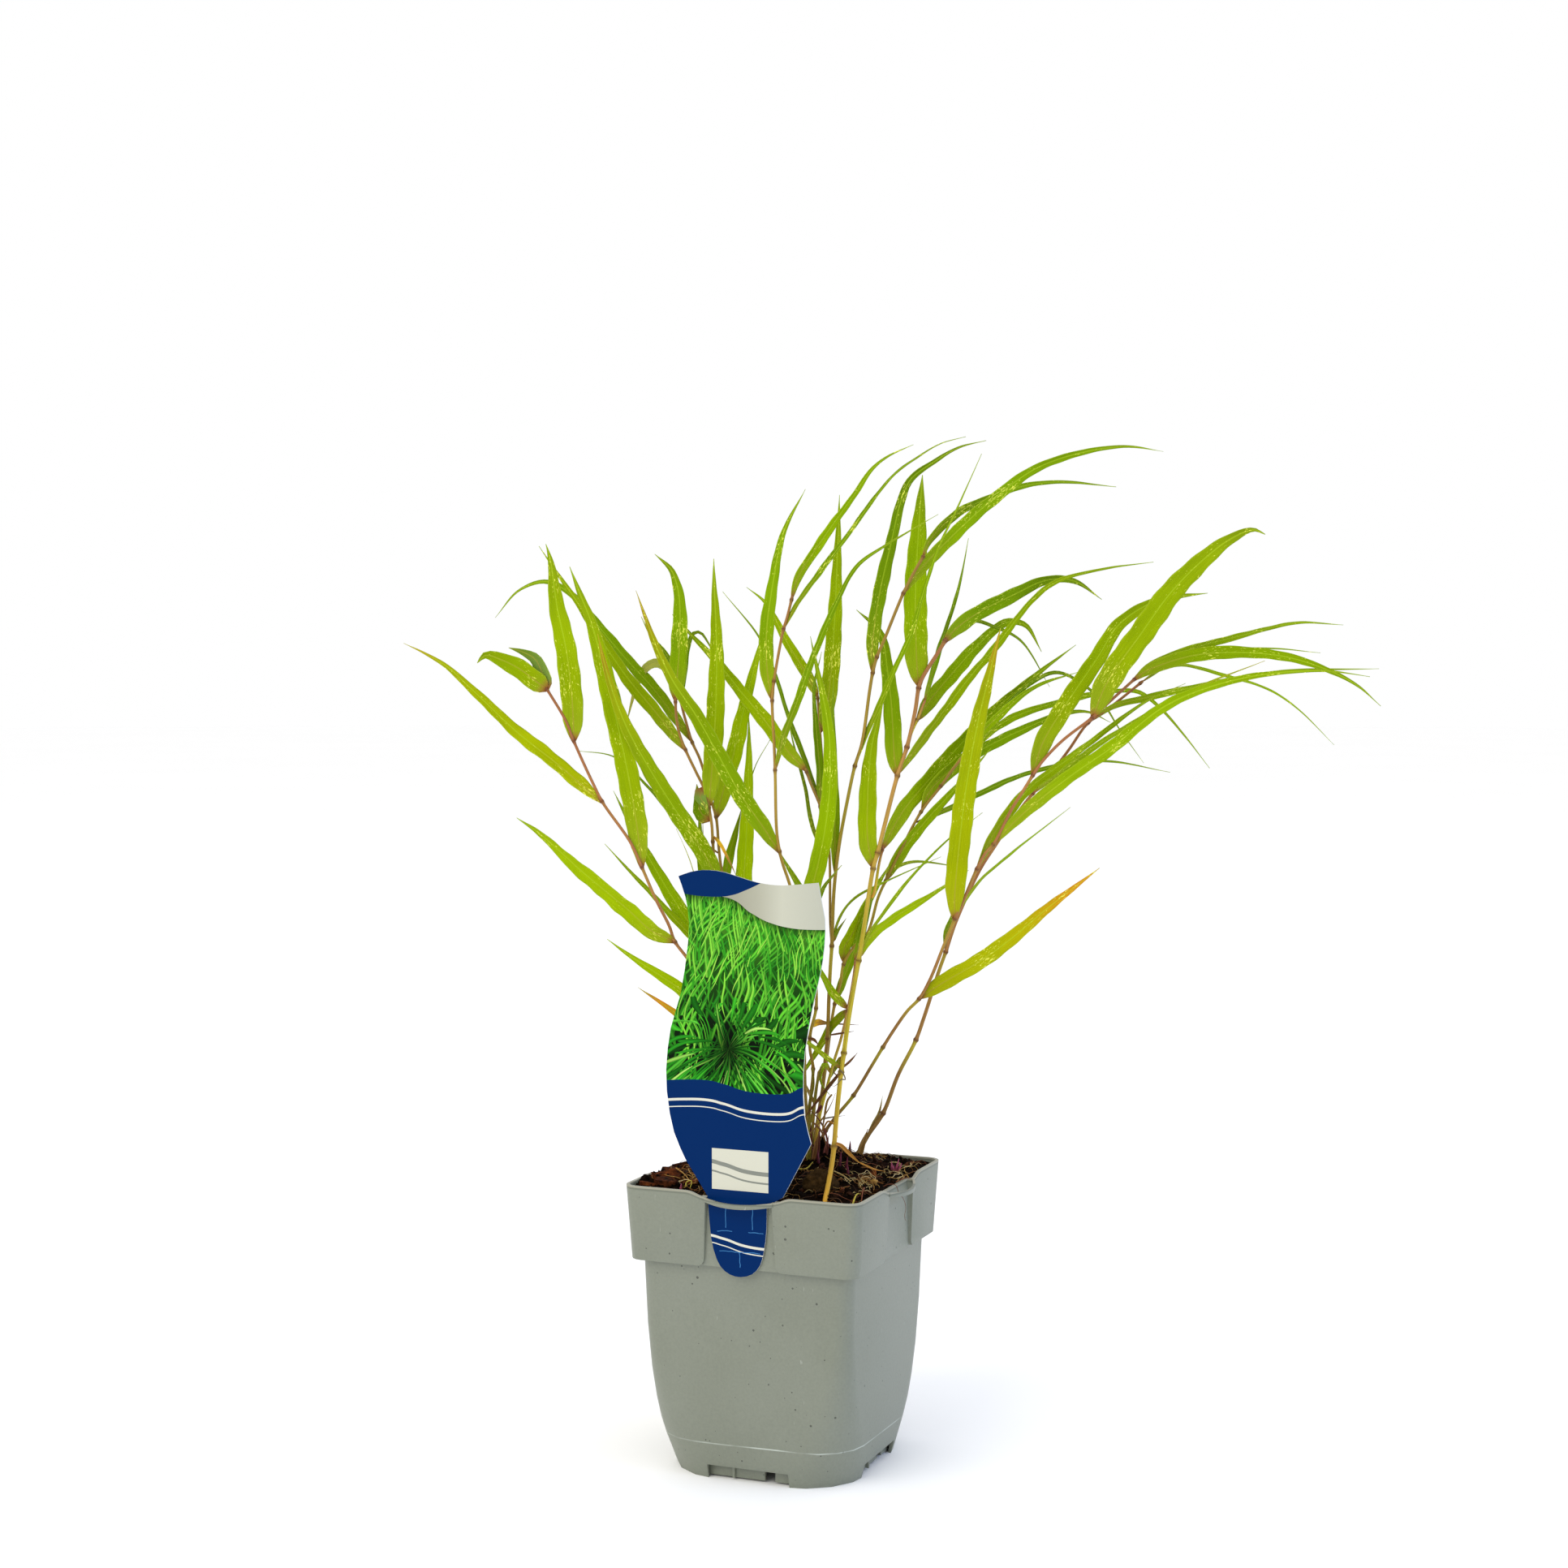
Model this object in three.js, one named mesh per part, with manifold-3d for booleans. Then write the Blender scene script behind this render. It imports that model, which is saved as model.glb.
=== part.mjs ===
// Japanese forest grass (Hakonechloa) growing in its square nursery pot, with potting
// soil and a plant label pushed into the slot of the rim.
//
// Millimetres, +Z up. The origin is the middle of the pot's underside. The pot's front,
// which holds the label, faces -Y.
import * as THREE from "three";
import { mergeVertices } from "three/addons/utils/BufferGeometryUtils.js";
import Module from "manifold-3d";

const wasm = await Module();
wasm.setup();

// ---------------------------------------------------------------- driving dimensions

const POT_HEIGHT = 128;
const WALL = 1.5;
const CLEARANCE = 0.3; // between pieces that touch

const COLLAR_TOP_HALF = 55; // half the pot's width across the rim
const COLLAR_FOOT_HALF = 53.1;
const COLLAR_FOOT_Z = 95.4;
const COLLAR_RADIUS = 6.5;

// Half width of the tapered body at each height above the ground.
const BODY_PROFILE = [
  [0, 43.9],
  [4, 44.6],
  [8, 45.2],
  [14, 46.0],
  [22, 46.9],
  [32, 47.5],
  [46, 47.9],
  [66, 48.2],
  [COLLAR_FOOT_Z, 49.2],
];
const BODY_FOOT_RADIUS = 29; // plan corner radius at the ground
const BODY_TOP_RADIUS = 7; // and from CORNER_BLEND_Z up
const CORNER_BLEND_Z = 66;
const CORNER_STEPS = 4;

const FLOOR_Z = 5; // underside of the raised floor
const BOSS_RADIUS = 13; // flat foot under the middle of the floor
const DRAIN_RADIUS = 4;
const DRAIN_OFFSET = 25;

const SLOT_TOP_HALF = 15; // label slot in the middle of each side
const SLOT_FOOT_HALF = 16.6;
const SLOT_FACE_Y = 51.9; // outer face of the recessed wall
const RIM_DIP = 4; // how far the rim dips beside the slot
const RIM_DIP_OUTER = 25;
const BOW_BULGE = 4.2; // the bar that bridges the slot
const BOW_HEIGHT = 2.8;
const BOW_THICKNESS = 1.2;
const BOW_SAG = 1.4;
const BOW_STEPS = 10;

const NOTCH_HALF = 19; // arch in the foot of each side
const NOTCH_HEIGHT = 5.5;
const NOTCH_DEPTH_Y = 41.4;
const SKIRT_Y = [40.9, 39.2]; // front and back of the skirt behind the arch
const SKIRT_FOOT_Z = 0.8;
const SKIRT_SLIT = [6.7, 11.6];
const SKIRT_RIB = [-8, -6.9];

const SOIL_EDGE_Z = 125;
const SOIL_DOME = 3.5; // rise from the wall to the middle
const SOIL_MOUND = 9.5;
const SOIL_MOUND_SPREAD = 21;
const SOIL_GRID = 14; // cells across
const SOIL_LUMP = 0.8;

const LABEL_THICKNESS = 0.7;

const PLANT_TURN = 22.1; // degrees from the pot's front to the plant's broad side
const CROWN = [14, 9]; // across, back: where the stems come out of the soil
const ROOT_LENGTH = 15; // how far a stem goes down into the soil
const HOLE_CLEARANCE = 0.35;
const HOLE_TOP_Z = 160; // the holes end above all of the soil

const BLADE_THICKNESS = 0.7;
const BLADE_STEP = 11.5; // distance between the sections of a blade
const BLADE_GUTTER = 0.1; // depth of the fold along the midrib, per width
const WAVE_HEIGHT = 0.075; // waving of the margins, per width
const WAVE_LENGTH = 31;
const CULM_SIDES = 5;
const NODE_SWELL = 1.4;
const NODE_LENGTH = 0.9;

// ---------------------------------------------------------------- solids and meshes

// Closed body through rings of points, each ring with the same count. Where `mirrored`
// is set, the second half of each ring is split like the first, so that the two faces of
// a waved blade stay parallel.
function loft(rings, mirrored = false) {
  const count = rings[0].length;
  const points = rings.flat();
  const faces = [];
  for (let k = 0; k + 1 < rings.length; k++) {
    for (let i = 0; i < count; i++) {
      const j = (i + 1) % count;
      const [a, b] = [k * count + i, k * count + j];
      const [c, d] = [a + count, b + count];
      if (mirrored && i >= count / 2) {
        faces.push([a, b, c], [b, d, c]);
      } else {
        faces.push([a, b, d], [a, d, c]);
      }
    }
  }
  const last = (rings.length - 1) * count;
  for (let i = 1; i + 1 < count; i++) {
    faces.push([0, i + 1, i], [last, last + i, last + i + 1]);
  }
  return closedGeometry(points, faces);
}

// Geometry of one closed body, turned inside out if its faces point inwards.
function closedGeometry(points, faces) {
  let volume = 0;
  for (const [a, b, c] of faces) {
    volume += points[a].dot(new THREE.Vector3().crossVectors(points[b], points[c]));
  }
  const index = faces.flatMap(([a, b, c]) => (volume < 0 ? [a, c, b] : [a, b, c]));
  const geometry = new THREE.BufferGeometry().setFromPoints(points);
  geometry.setIndex(index);
  return geometry;
}

function toSolid(geometry) {
  const bare = geometry.clone();
  bare.deleteAttribute("normal");
  bare.deleteAttribute("uv");
  const merged = mergeVertices(bare, 1e-5);
  const vertProperties = new Float32Array(merged.attributes.position.array);
  const triVerts = new Uint32Array(merged.index.array);
  return new wasm.Manifold(new wasm.Mesh({ numProp: 3, vertProperties, triVerts }));
}

function toGeometry(solid) {
  const data = solid.getMesh();
  const geometry = new THREE.BufferGeometry();
  geometry.setAttribute("position", new THREE.BufferAttribute(data.vertProperties, 3));
  geometry.setIndex(new THREE.BufferAttribute(data.triVerts, 1));
  return geometry;
}

function join(solids) {
  return solids.reduce((whole, solid) => whole.add(solid));
}

function cutAway(solid, cuts) {
  return cuts.reduce((rest, cut) => rest.subtract(cut), solid);
}

// The largest of the bodies that a cut leaves, without loose scraps.
function largest(solid) {
  const bodies = solid.decompose();
  return bodies.reduce((best, body) => (body.volume() > best.volume() ? body : best));
}

function boxSolid([x0, y0, z0], [x1, y1, z1]) {
  const geometry = new THREE.BoxGeometry(x1 - x0, y1 - y0, z1 - z0);
  geometry.translate((x0 + x1) / 2, (y0 + y1) / 2, (z0 + z1) / 2);
  return toSolid(geometry);
}

function postSolid(x, y, z0, z1, radius, sides) {
  const geometry = new THREE.CylinderGeometry(radius, radius, z1 - z0, sides);
  geometry.rotateX(Math.PI / 2);
  geometry.translate(x, y, (z0 + z1) / 2);
  return toSolid(geometry);
}

// Flat shape in X and Z with a thickness along Y.
function plateSolid(shape, y0, y1, curveSegments) {
  const geometry = new THREE.ExtrudeGeometry(shape, {
    depth: y1 - y0,
    bevelEnabled: false,
    curveSegments,
  });
  geometry.rotateX(Math.PI / 2);
  geometry.translate(0, y1, 0);
  return toSolid(geometry);
}

// The same solid on each of the pot's four sides.
function onEachSide(solid) {
  return [0, 90, 180, 270].map((turn) => solid.rotate([0, 0, turn]));
}

function finish(name, solid, color, roughness) {
  const material = new THREE.MeshStandardMaterial({ color, roughness, metalness: 0 });
  const mesh = new THREE.Mesh(toGeometry(solid), material);
  mesh.name = name;
  return mesh;
}

// ---------------------------------------------------------------- pot

function roundedSquare(half, radius, z) {
  const ring = [];
  for (let corner = 0; corner < 4; corner++) {
    const turn = (corner * Math.PI) / 2;
    const centre = new THREE.Vector2(half - radius, half - radius);
    centre.rotateAround(new THREE.Vector2(), turn);
    for (let step = 0; step <= CORNER_STEPS; step++) {
      const angle = turn + (step / CORNER_STEPS) * (Math.PI / 2);
      const x = centre.x + radius * Math.cos(angle);
      const y = centre.y + radius * Math.sin(angle);
      ring.push(new THREE.Vector3(x, y, z));
    }
  }
  return ring;
}

function bodyRadius(z) {
  const share = Math.max(0, 1 - z / CORNER_BLEND_Z);
  return BODY_TOP_RADIUS + (BODY_FOOT_RADIUS - BODY_TOP_RADIUS) * share ** 1.4;
}

function bodyHalf(z) {
  const next = BODY_PROFILE.findIndex(([height]) => height >= z);
  if (next < 1) {
    return BODY_PROFILE[0][1];
  }
  const [z0, half0] = BODY_PROFILE[next - 1];
  const [z1, half1] = BODY_PROFILE[next];
  return half0 + ((half1 - half0) * (z - z0)) / (z1 - z0);
}

// The room inside the pot, drawn in by `inset` on every side.
function potRoom(inset, top) {
  const floor = FLOOR_Z + WALL + inset;
  const between = BODY_PROFILE.map(([z]) => z).filter((z) => z > floor + 2 && z < COLLAR_FOOT_Z);
  const rings = [floor, ...between].map((z) => {
    return roundedSquare(bodyHalf(z) - WALL - inset, bodyRadius(z) - WALL, z);
  });
  const collar = COLLAR_RADIUS - WALL;
  const ledgeZ = COLLAR_FOOT_Z + WALL + inset;
  const neckHalf = bodyHalf(COLLAR_FOOT_Z) - WALL - inset;
  rings.push(roundedSquare(neckHalf, collar, ledgeZ));
  rings.push(roundedSquare(COLLAR_FOOT_HALF - WALL - inset, collar, ledgeZ + 1));
  rings.push(roundedSquare(COLLAR_TOP_HALF - WALL - inset, collar, POT_HEIGHT));
  rings.push(roundedSquare(COLLAR_TOP_HALF - WALL - inset, collar, top));
  return toSolid(loft(rings));
}

// Edge of the rim seen from the front: it dips in an S-curve beside the slot.
function rimCutter() {
  const low = POT_HEIGHT - RIM_DIP;
  const bend = (RIM_DIP_OUTER - SLOT_TOP_HALF) / 2;
  const shape = new THREE.Shape();
  shape.moveTo(-RIM_DIP_OUTER, POT_HEIGHT + 0.01);
  shape.bezierCurveTo(
    -RIM_DIP_OUTER + bend, POT_HEIGHT, -SLOT_TOP_HALF - bend, low, -SLOT_TOP_HALF, low);
  shape.lineTo(SLOT_TOP_HALF, low);
  shape.bezierCurveTo(
    SLOT_TOP_HALF + bend, low, RIM_DIP_OUTER - bend, POT_HEIGHT, RIM_DIP_OUTER, POT_HEIGHT + 0.01);
  shape.lineTo(RIM_DIP_OUTER, POT_HEIGHT + 2);
  shape.lineTo(-RIM_DIP_OUTER, POT_HEIGHT + 2);
  return plateSolid(shape, -COLLAR_TOP_HALF - 5, -COLLAR_TOP_HALF + 6, 6);
}

// Opening of the slot between the two panels of the collar, with round lower corners.
function slotCutter() {
  const foot = COLLAR_FOOT_Z - 3;
  const round = 4;
  const shape = new THREE.Shape();
  shape.moveTo(-SLOT_TOP_HALF, POT_HEIGHT + 1);
  shape.lineTo(-SLOT_FOOT_HALF, COLLAR_FOOT_Z + round);
  shape.quadraticCurveTo(
    -SLOT_FOOT_HALF, COLLAR_FOOT_Z, -SLOT_FOOT_HALF - round, COLLAR_FOOT_Z - 0.5);
  shape.lineTo(-SLOT_FOOT_HALF - round, foot);
  shape.lineTo(SLOT_FOOT_HALF + round, foot);
  shape.lineTo(SLOT_FOOT_HALF + round, COLLAR_FOOT_Z - 0.5);
  shape.quadraticCurveTo(
    SLOT_FOOT_HALF, COLLAR_FOOT_Z, SLOT_FOOT_HALF, COLLAR_FOOT_Z + round);
  shape.lineTo(SLOT_TOP_HALF, POT_HEIGHT + 1);
  return plateSolid(shape, -COLLAR_TOP_HALF - 1, -SLOT_FACE_Y, 4);
}

// Block that holds the slot: cut to the collar it leaves the recessed wall and its sides,
// and with a gap it is the room that the slot takes up in the soil.
function slotBlock(top, gap = 0) {
  const half = SLOT_FOOT_HALF + WALL + gap;
  return boxSolid(
    [-half, -COLLAR_TOP_HALF - 1, COLLAR_FOOT_Z - gap],
    [half, -SLOT_FACE_Y + WALL + gap, top]);
}

// Bar that bridges the slot and holds the label, bulging outwards.
function bow() {
  const reach = SLOT_TOP_HALF + 1;
  const inner = -COLLAR_TOP_HALF + BOW_THICKNESS;
  const rings = [];
  for (let step = 0; step <= BOW_STEPS; step++) {
    const share = (step / BOW_STEPS) * 2 - 1;
    const bulge = 1 - share * share;
    const y = inner - BOW_BULGE * bulge;
    const z = POT_HEIGHT - RIM_DIP - BOW_SAG * bulge;
    const x = share * reach;
    rings.push([
      new THREE.Vector3(x, y, z - BOW_HEIGHT),
      new THREE.Vector3(x, y - BOW_THICKNESS, z - BOW_HEIGHT),
      new THREE.Vector3(x, y - BOW_THICKNESS, z),
      new THREE.Vector3(x, y, z),
    ]);
  }
  return toSolid(loft(rings));
}

// Skirt set back behind each foot arch, with a rib and a drain slit.
function footSkirt() {
  const [front, back] = SKIRT_Y.map((y) => -y);
  const half = NOTCH_HALF + 2 * WALL;
  const top = FLOOR_Z + WALL / 3;
  return join([
    boxSolid([-half, front, SKIRT_FOOT_Z], [SKIRT_SLIT[0], back, top]),
    boxSolid([SKIRT_SLIT[1], front, SKIRT_FOOT_Z], [half, back, top]),
    boxSolid([SKIRT_RIB[0], front - WALL, SKIRT_FOOT_Z], [SKIRT_RIB[1], back, top]),
  ]);
}

function makePot() {
  const body = BODY_PROFILE.map(([z, half]) => roundedSquare(half, bodyRadius(z), z));
  const collar = toSolid(loft([
    roundedSquare(COLLAR_FOOT_HALF, COLLAR_RADIUS, COLLAR_FOOT_Z),
    roundedSquare(COLLAR_TOP_HALF, COLLAR_RADIUS, POT_HEIGHT),
  ]));
  const underside = toSolid(loft([-1, FLOOR_Z - 1, FLOOR_Z].map((z) => {
    return roundedSquare(bodyHalf(Math.max(z, 0)) - WALL, bodyRadius(0) - WALL, z);
  })));
  const notch = boxSolid(
    [-NOTCH_HALF, -COLLAR_TOP_HALF, -1], [NOTCH_HALF, -NOTCH_DEPTH_Y, NOTCH_HEIGHT]);
  const blocks = onEachSide(slotBlock(POT_HEIGHT - RIM_DIP));
  const slots = blocks.map((block) => block.intersect(collar));

  let pot = toSolid(loft(body)).add(collar);
  pot = cutAway(pot, [potRoom(0, POT_HEIGHT + 2), underside]);
  pot = cutAway(join([pot, ...slots]), onEachSide(slotCutter()));
  pot = cutAway(pot, [...onEachSide(notch), ...onEachSide(rimCutter())]);
  pot = join([pot, ...onEachSide(footSkirt()), ...onEachSide(bow())]);
  pot = pot.add(postSolid(0, 0, 0, FLOOR_Z + WALL / 3, BOSS_RADIUS, 24));
  for (const x of [-DRAIN_OFFSET, 0, DRAIN_OFFSET]) {
    for (const y of [-DRAIN_OFFSET, 0, DRAIN_OFFSET]) {
      if (x !== 0 || y !== 0) {
        pot = pot.subtract(postSolid(x, y, 1, FLOOR_Z + 2 * WALL, DRAIN_RADIUS, 8));
      }
    }
  }
  return finish("pot", largest(pot), 0x8f968c, 0.45);
}

// ---------------------------------------------------------------- label

// Outline of the printed plastic label: a wavy head above the rim, a waist, shoulders
// that sit behind the rim, and a tongue that comes out under the bow.
function makeLabel() {
  const shape = new THREE.Shape();
  shape.moveTo(-15.1, 126.2);
  shape.lineTo(-25.3, 141.2);
  shape.splineThru(points2([-31.4, 154.8], [-34.4, 175.6], [-32.4, 196.6], [-27.1, 214.4],
    [-23.6, 239], [-24.7, 252.8], [-28.4, 263.4]));
  shape.splineThru(points2([-21.9, 265.6], [-15.5, 266.4], [-7.9, 265.9], [0.3, 263.8],
    [8.9, 261.7], [18.1, 260.9], [27.1, 261.6], [35.9, 262.6]));
  shape.splineThru(points2([37.6, 253.8], [39.1, 245], [38.2, 231.3], [35.7, 219.2],
    [32.8, 207], [29.5, 186.4], [29.5, 165.7], [32.8, 151.9]));
  shape.lineTo(19.9, 128);
  shape.quadraticCurveTo(16.5, 125.6, 12.5, 124.6);
  shape.splineThru(points2([12.3, 112.4], [10.3, 100.2], [6.5, 94.4], [0.5, 92.2],
    [-5.3, 93.2], [-9.9, 97.4], [-13.1, 106.8], [-14.5, 120.6]));
  shape.lineTo(-15.1, 126.2);
  const back = -SLOT_FACE_Y - CLEARANCE;
  return finish("label", plateSolid(shape, back - LABEL_THICKNESS, back, 2), 0x1c4a7c, 0.35);
}

function points2(...pairs) {
  return pairs.map(([x, y]) => new THREE.Vector2(x, y));
}

// ---------------------------------------------------------------- the plant's own frame

// Points of the plant are laid out as [across, up] on an upright board through the pot's
// axis, as an eye far in front sees them. Each is moved along its line of sight to its own
// distance behind the board (negative: in front of it), so that stems and leaves spread in
// depth and keep their places in that view.
const EYE_DISTANCE = 1136;
const EYE_HEIGHT = 358;

function place(across, up, back) {
  const scale = 1 + back / EYE_DISTANCE;
  return new THREE.Vector3(across * scale, back, EYE_HEIGHT + (up - EYE_HEIGHT) * scale);
}

const FRONT = new THREE.Vector3(0, -1, 0);

// ---------------------------------------------------------------- culms

// A culm is a list of [across, up, back] from its foot to its top. NODE marks the joints,
// which are swollen and carry the leaves.
const NODE = true;

function culmPath(culm, fromSoil) {
  const path = culm.map(([across, up, back, node]) => ({ at: place(across, up, back), node }));
  if (fromSoil) {
    const [foot, next] = [path[0].at, path[1].at];
    const down = new THREE.Vector3().subVectors(foot, next).normalize();
    down.z -= 1;
    path.unshift({ at: foot.clone().addScaledVector(down.normalize(), ROOT_LENGTH) });
  }
  return path;
}

function culmRing(at, along, radius) {
  const side = new THREE.Vector3().crossVectors(along, FRONT).normalize();
  const depth = new THREE.Vector3().crossVectors(side, along);
  const ring = [];
  for (let i = 0; i < CULM_SIDES; i++) {
    const angle = (i / CULM_SIDES) * Math.PI * 2;
    const point = at.clone().addScaledVector(side, radius * Math.cos(angle));
    ring.push(point.addScaledVector(depth, radius * Math.sin(angle)));
  }
  return ring;
}

// Tube along the path from one diameter to another, `grow` thicker all round.
function culmSolid(path, [footDiameter, topDiameter], grow = 0) {
  const rings = [];
  path.forEach(({ at, node }, k) => {
    const before = path[Math.max(k - 1, 0)].at;
    const after = path[Math.min(k + 1, path.length - 1)].at;
    const along = new THREE.Vector3().subVectors(after, before).normalize();
    const share = k / (path.length - 1);
    const radius = (footDiameter + (topDiameter - footDiameter) * share) / 2 + grow;
    if (!node || grow > 0) {
      rings.push(culmRing(at, along, radius));
      return;
    }
    const lower = at.clone().addScaledVector(along, -NODE_LENGTH);
    const upper = at.clone().addScaledVector(along, NODE_LENGTH);
    rings.push(culmRing(lower, along, radius));
    rings.push(culmRing(at, along, radius * NODE_SWELL));
    if (k + 1 < path.length) {
      rings.push(culmRing(upper, along, radius));
    }
  });
  return toSolid(loft(rings));
}

// Nearest place on the stem's culms to a point of the board, as [across, up, back].
function onCulm(culms, [across, up]) {
  let best = null;
  for (const culm of culms) {
    for (let k = 0; k + 1 < culm.length; k++) {
      const [u0, z0, v0] = culm[k];
      const [u1, z1, v1] = culm[k + 1];
      const length2 = (u1 - u0) ** 2 + (z1 - z0) ** 2;
      const along = ((across - u0) * (u1 - u0) + (up - z0) * (z1 - z0)) / length2;
      const share = Math.min(1, Math.max(0, along));
      const found = [u0 + (u1 - u0) * share, z0 + (z1 - z0) * share, v0 + (v1 - v0) * share];
      const gap = Math.hypot(found[0] - across, found[1] - up);
      if (!best || gap < best.gap) {
        best = { gap, found };
      }
    }
  }
  return best.found;
}

// ---------------------------------------------------------------- leaves

// A leaf is { width, turn, back, path }: turn is the angle in degrees by which the broad
// side is turned from the front, and back is the distance of the tip behind the board, or
// of the middle and the tip. The path starts on the culm.
function leaf(width, turn, back, ...path) {
  return { width, turn, back: [back].flat(), path };
}

// Width of a blade from its collar (0) to its tip (1), as a share of the full width.
function bladeOutline(t) {
  const rise = 0.2 + 0.8 * (1 - Math.max(0, 1 - t / 0.15) ** 2);
  const fall = 1 - (Math.max(0, t - 0.33) / 0.67) ** 1.3;
  return Math.max(0.07, rise * fall);
}

// Depth of the blade: straight from the culm to the tip, or bent through the middle.
function bladeBack(start, back, t) {
  if (back.length === 1) {
    return start + (back[0] - start) * t;
  }
  const [middle, tip] = back;
  const bend = 4 * middle - tip - 3 * start;
  return start + bend * t + (tip - start - bend) * t * t;
}

function bladeCurve(culms, { path, back }) {
  const [u0, z0, start] = onCulm(culms, path[0]);
  const flat = [[u0, z0], ...path.slice(1)];
  const lengths = [0];
  for (let k = 1; k < flat.length; k++) {
    const step = Math.hypot(flat[k][0] - flat[k - 1][0], flat[k][1] - flat[k - 1][1]);
    lengths.push(lengths[k - 1] + step);
  }
  const whole = lengths[lengths.length - 1];
  const points = flat.map(([across, up], k) => {
    return place(across, up, bladeBack(start, back, lengths[k] / whole));
  });
  return new THREE.CatmullRomCurve3(points, false, "centripetal");
}

// Blade with a fold along the midrib and gently waved margins.
function bladeSolid(culms, blade) {
  const curve = bladeCurve(culms, blade);
  const length = curve.getLength();
  const steps = Math.max(5, Math.round(length / BLADE_STEP));
  const turn = THREE.MathUtils.degToRad(blade.turn);
  const phase = blade.path[0][0];
  const rings = [];
  for (let step = 0; step <= steps; step++) {
    const t = step / steps;
    const at = curve.getPointAt(t);
    const along = curve.getTangentAt(t);
    const side = new THREE.Vector3().crossVectors(along, FRONT).normalize();
    side.applyAxisAngle(along, turn);
    const up = new THREE.Vector3().crossVectors(side, along);
    const width = Math.max(blade.width * bladeOutline(t), BLADE_THICKNESS);
    const waves = (t * length * 2 * Math.PI) / WAVE_LENGTH + phase;
    const wave = width * WAVE_HEIGHT * Math.min(1, 4 * t);
    const middle = at.clone().addScaledVector(up, -width * BLADE_GUTTER);
    const half = BLADE_THICKNESS / 2;
    rings.push([
      at.clone().addScaledVector(side, width / 2).addScaledVector(up, wave * Math.sin(waves)),
      middle.clone().addScaledVector(up, half),
      at.clone().addScaledVector(side, -width / 2).addScaledVector(up, wave * Math.cos(waves)),
      middle.clone().addScaledVector(up, -half),
    ]);
  }
  return toSolid(loft(rings, true));
}

// Leafy stem as one solid: its culms, the first of which stands in the soil, with the
// blades grown into them.
function stemSolid({ culms, leaves }) {
  const axes = culms.map((culm) => culm.points);
  const tubes = culms.map((culm, k) => culmSolid(culmPath(culm.points, k === 0), culm.size));
  const blades = leaves.map((blade) => bladeSolid(axes, blade));
  return join([...tubes, ...blades]);
}

function culm(footDiameter, topDiameter, ...points) {
  return { size: [footDiameter, topDiameter], points };
}

// ---------------------------------------------------------------- the stems

const stems = {};

// Leftmost stem, arching out in front of its neighbours.
stems.stem_left_outer = {
  culms: [
    culm(1.6, 1.2, [5, 133, -8], [-4, 158, -11], [-16, 180, -14], [-30, 203, -18],
      [-44, 223.5, -21], [-49.5, 231, -22, NODE], [-52, 238, -23], [-58, 250, -24],
      [-64, 264, -25, NODE], [-69, 275, -26], [-81.3, 292.8, -27, NODE],
      [-85.2, 300.5, -27], [-94, 320, -28, NODE], [-97.5, 329, -28],
      [-105.5, 342.5, -28, NODE]),
  ],
  leaves: [
    leaf(8.5, 0, -35, [-105.5, 342.5], [-112, 347.5], [-118, 352], [-126, 356],
      [-133, 358], [-136.5, 354.5]),
    leaf(5, -30, -29, [-105.5, 342.5], [-108.5, 352], [-111.5, 357.5], [-117, 359.5],
      [-123, 361.3]),
    leaf(9.3, 0, -31, [-94, 320], [-94.3, 330], [-94.9, 340], [-97.2, 360],
      [-101.3, 380], [-104, 400], [-106, 407]),
    leaf(6.5, 25, -20, [-81.5, 292.5], [-92, 302], [-100, 309], [-120, 325],
      [-140, 344], [-150, 353], [-160, 359], [-169, 363.3]),
    leaf(9.3, 0, -28, [-64, 264], [-66.6, 285], [-72, 315], [-79, 345], [-86, 372],
      [-91, 385], [-95.5, 397]),
    leaf(8, -20, -50, [-49.5, 230.5], [-60, 235.5], [-70, 244.5], [-90, 261.3],
      [-110, 279.5], [-119.5, 286]),
    leaf(4.8, 35, -22, [-25, 193], [-36, 199.5], [-46, 206.3], [-60, 217.3],
      [-70, 224.7], [-79.5, 232]),
    leaf(3, 20, -26, [-15, 178], [-30, 182], [-40, 190], [-50, 198], [-66, 210.5]),
  ],
};

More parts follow.
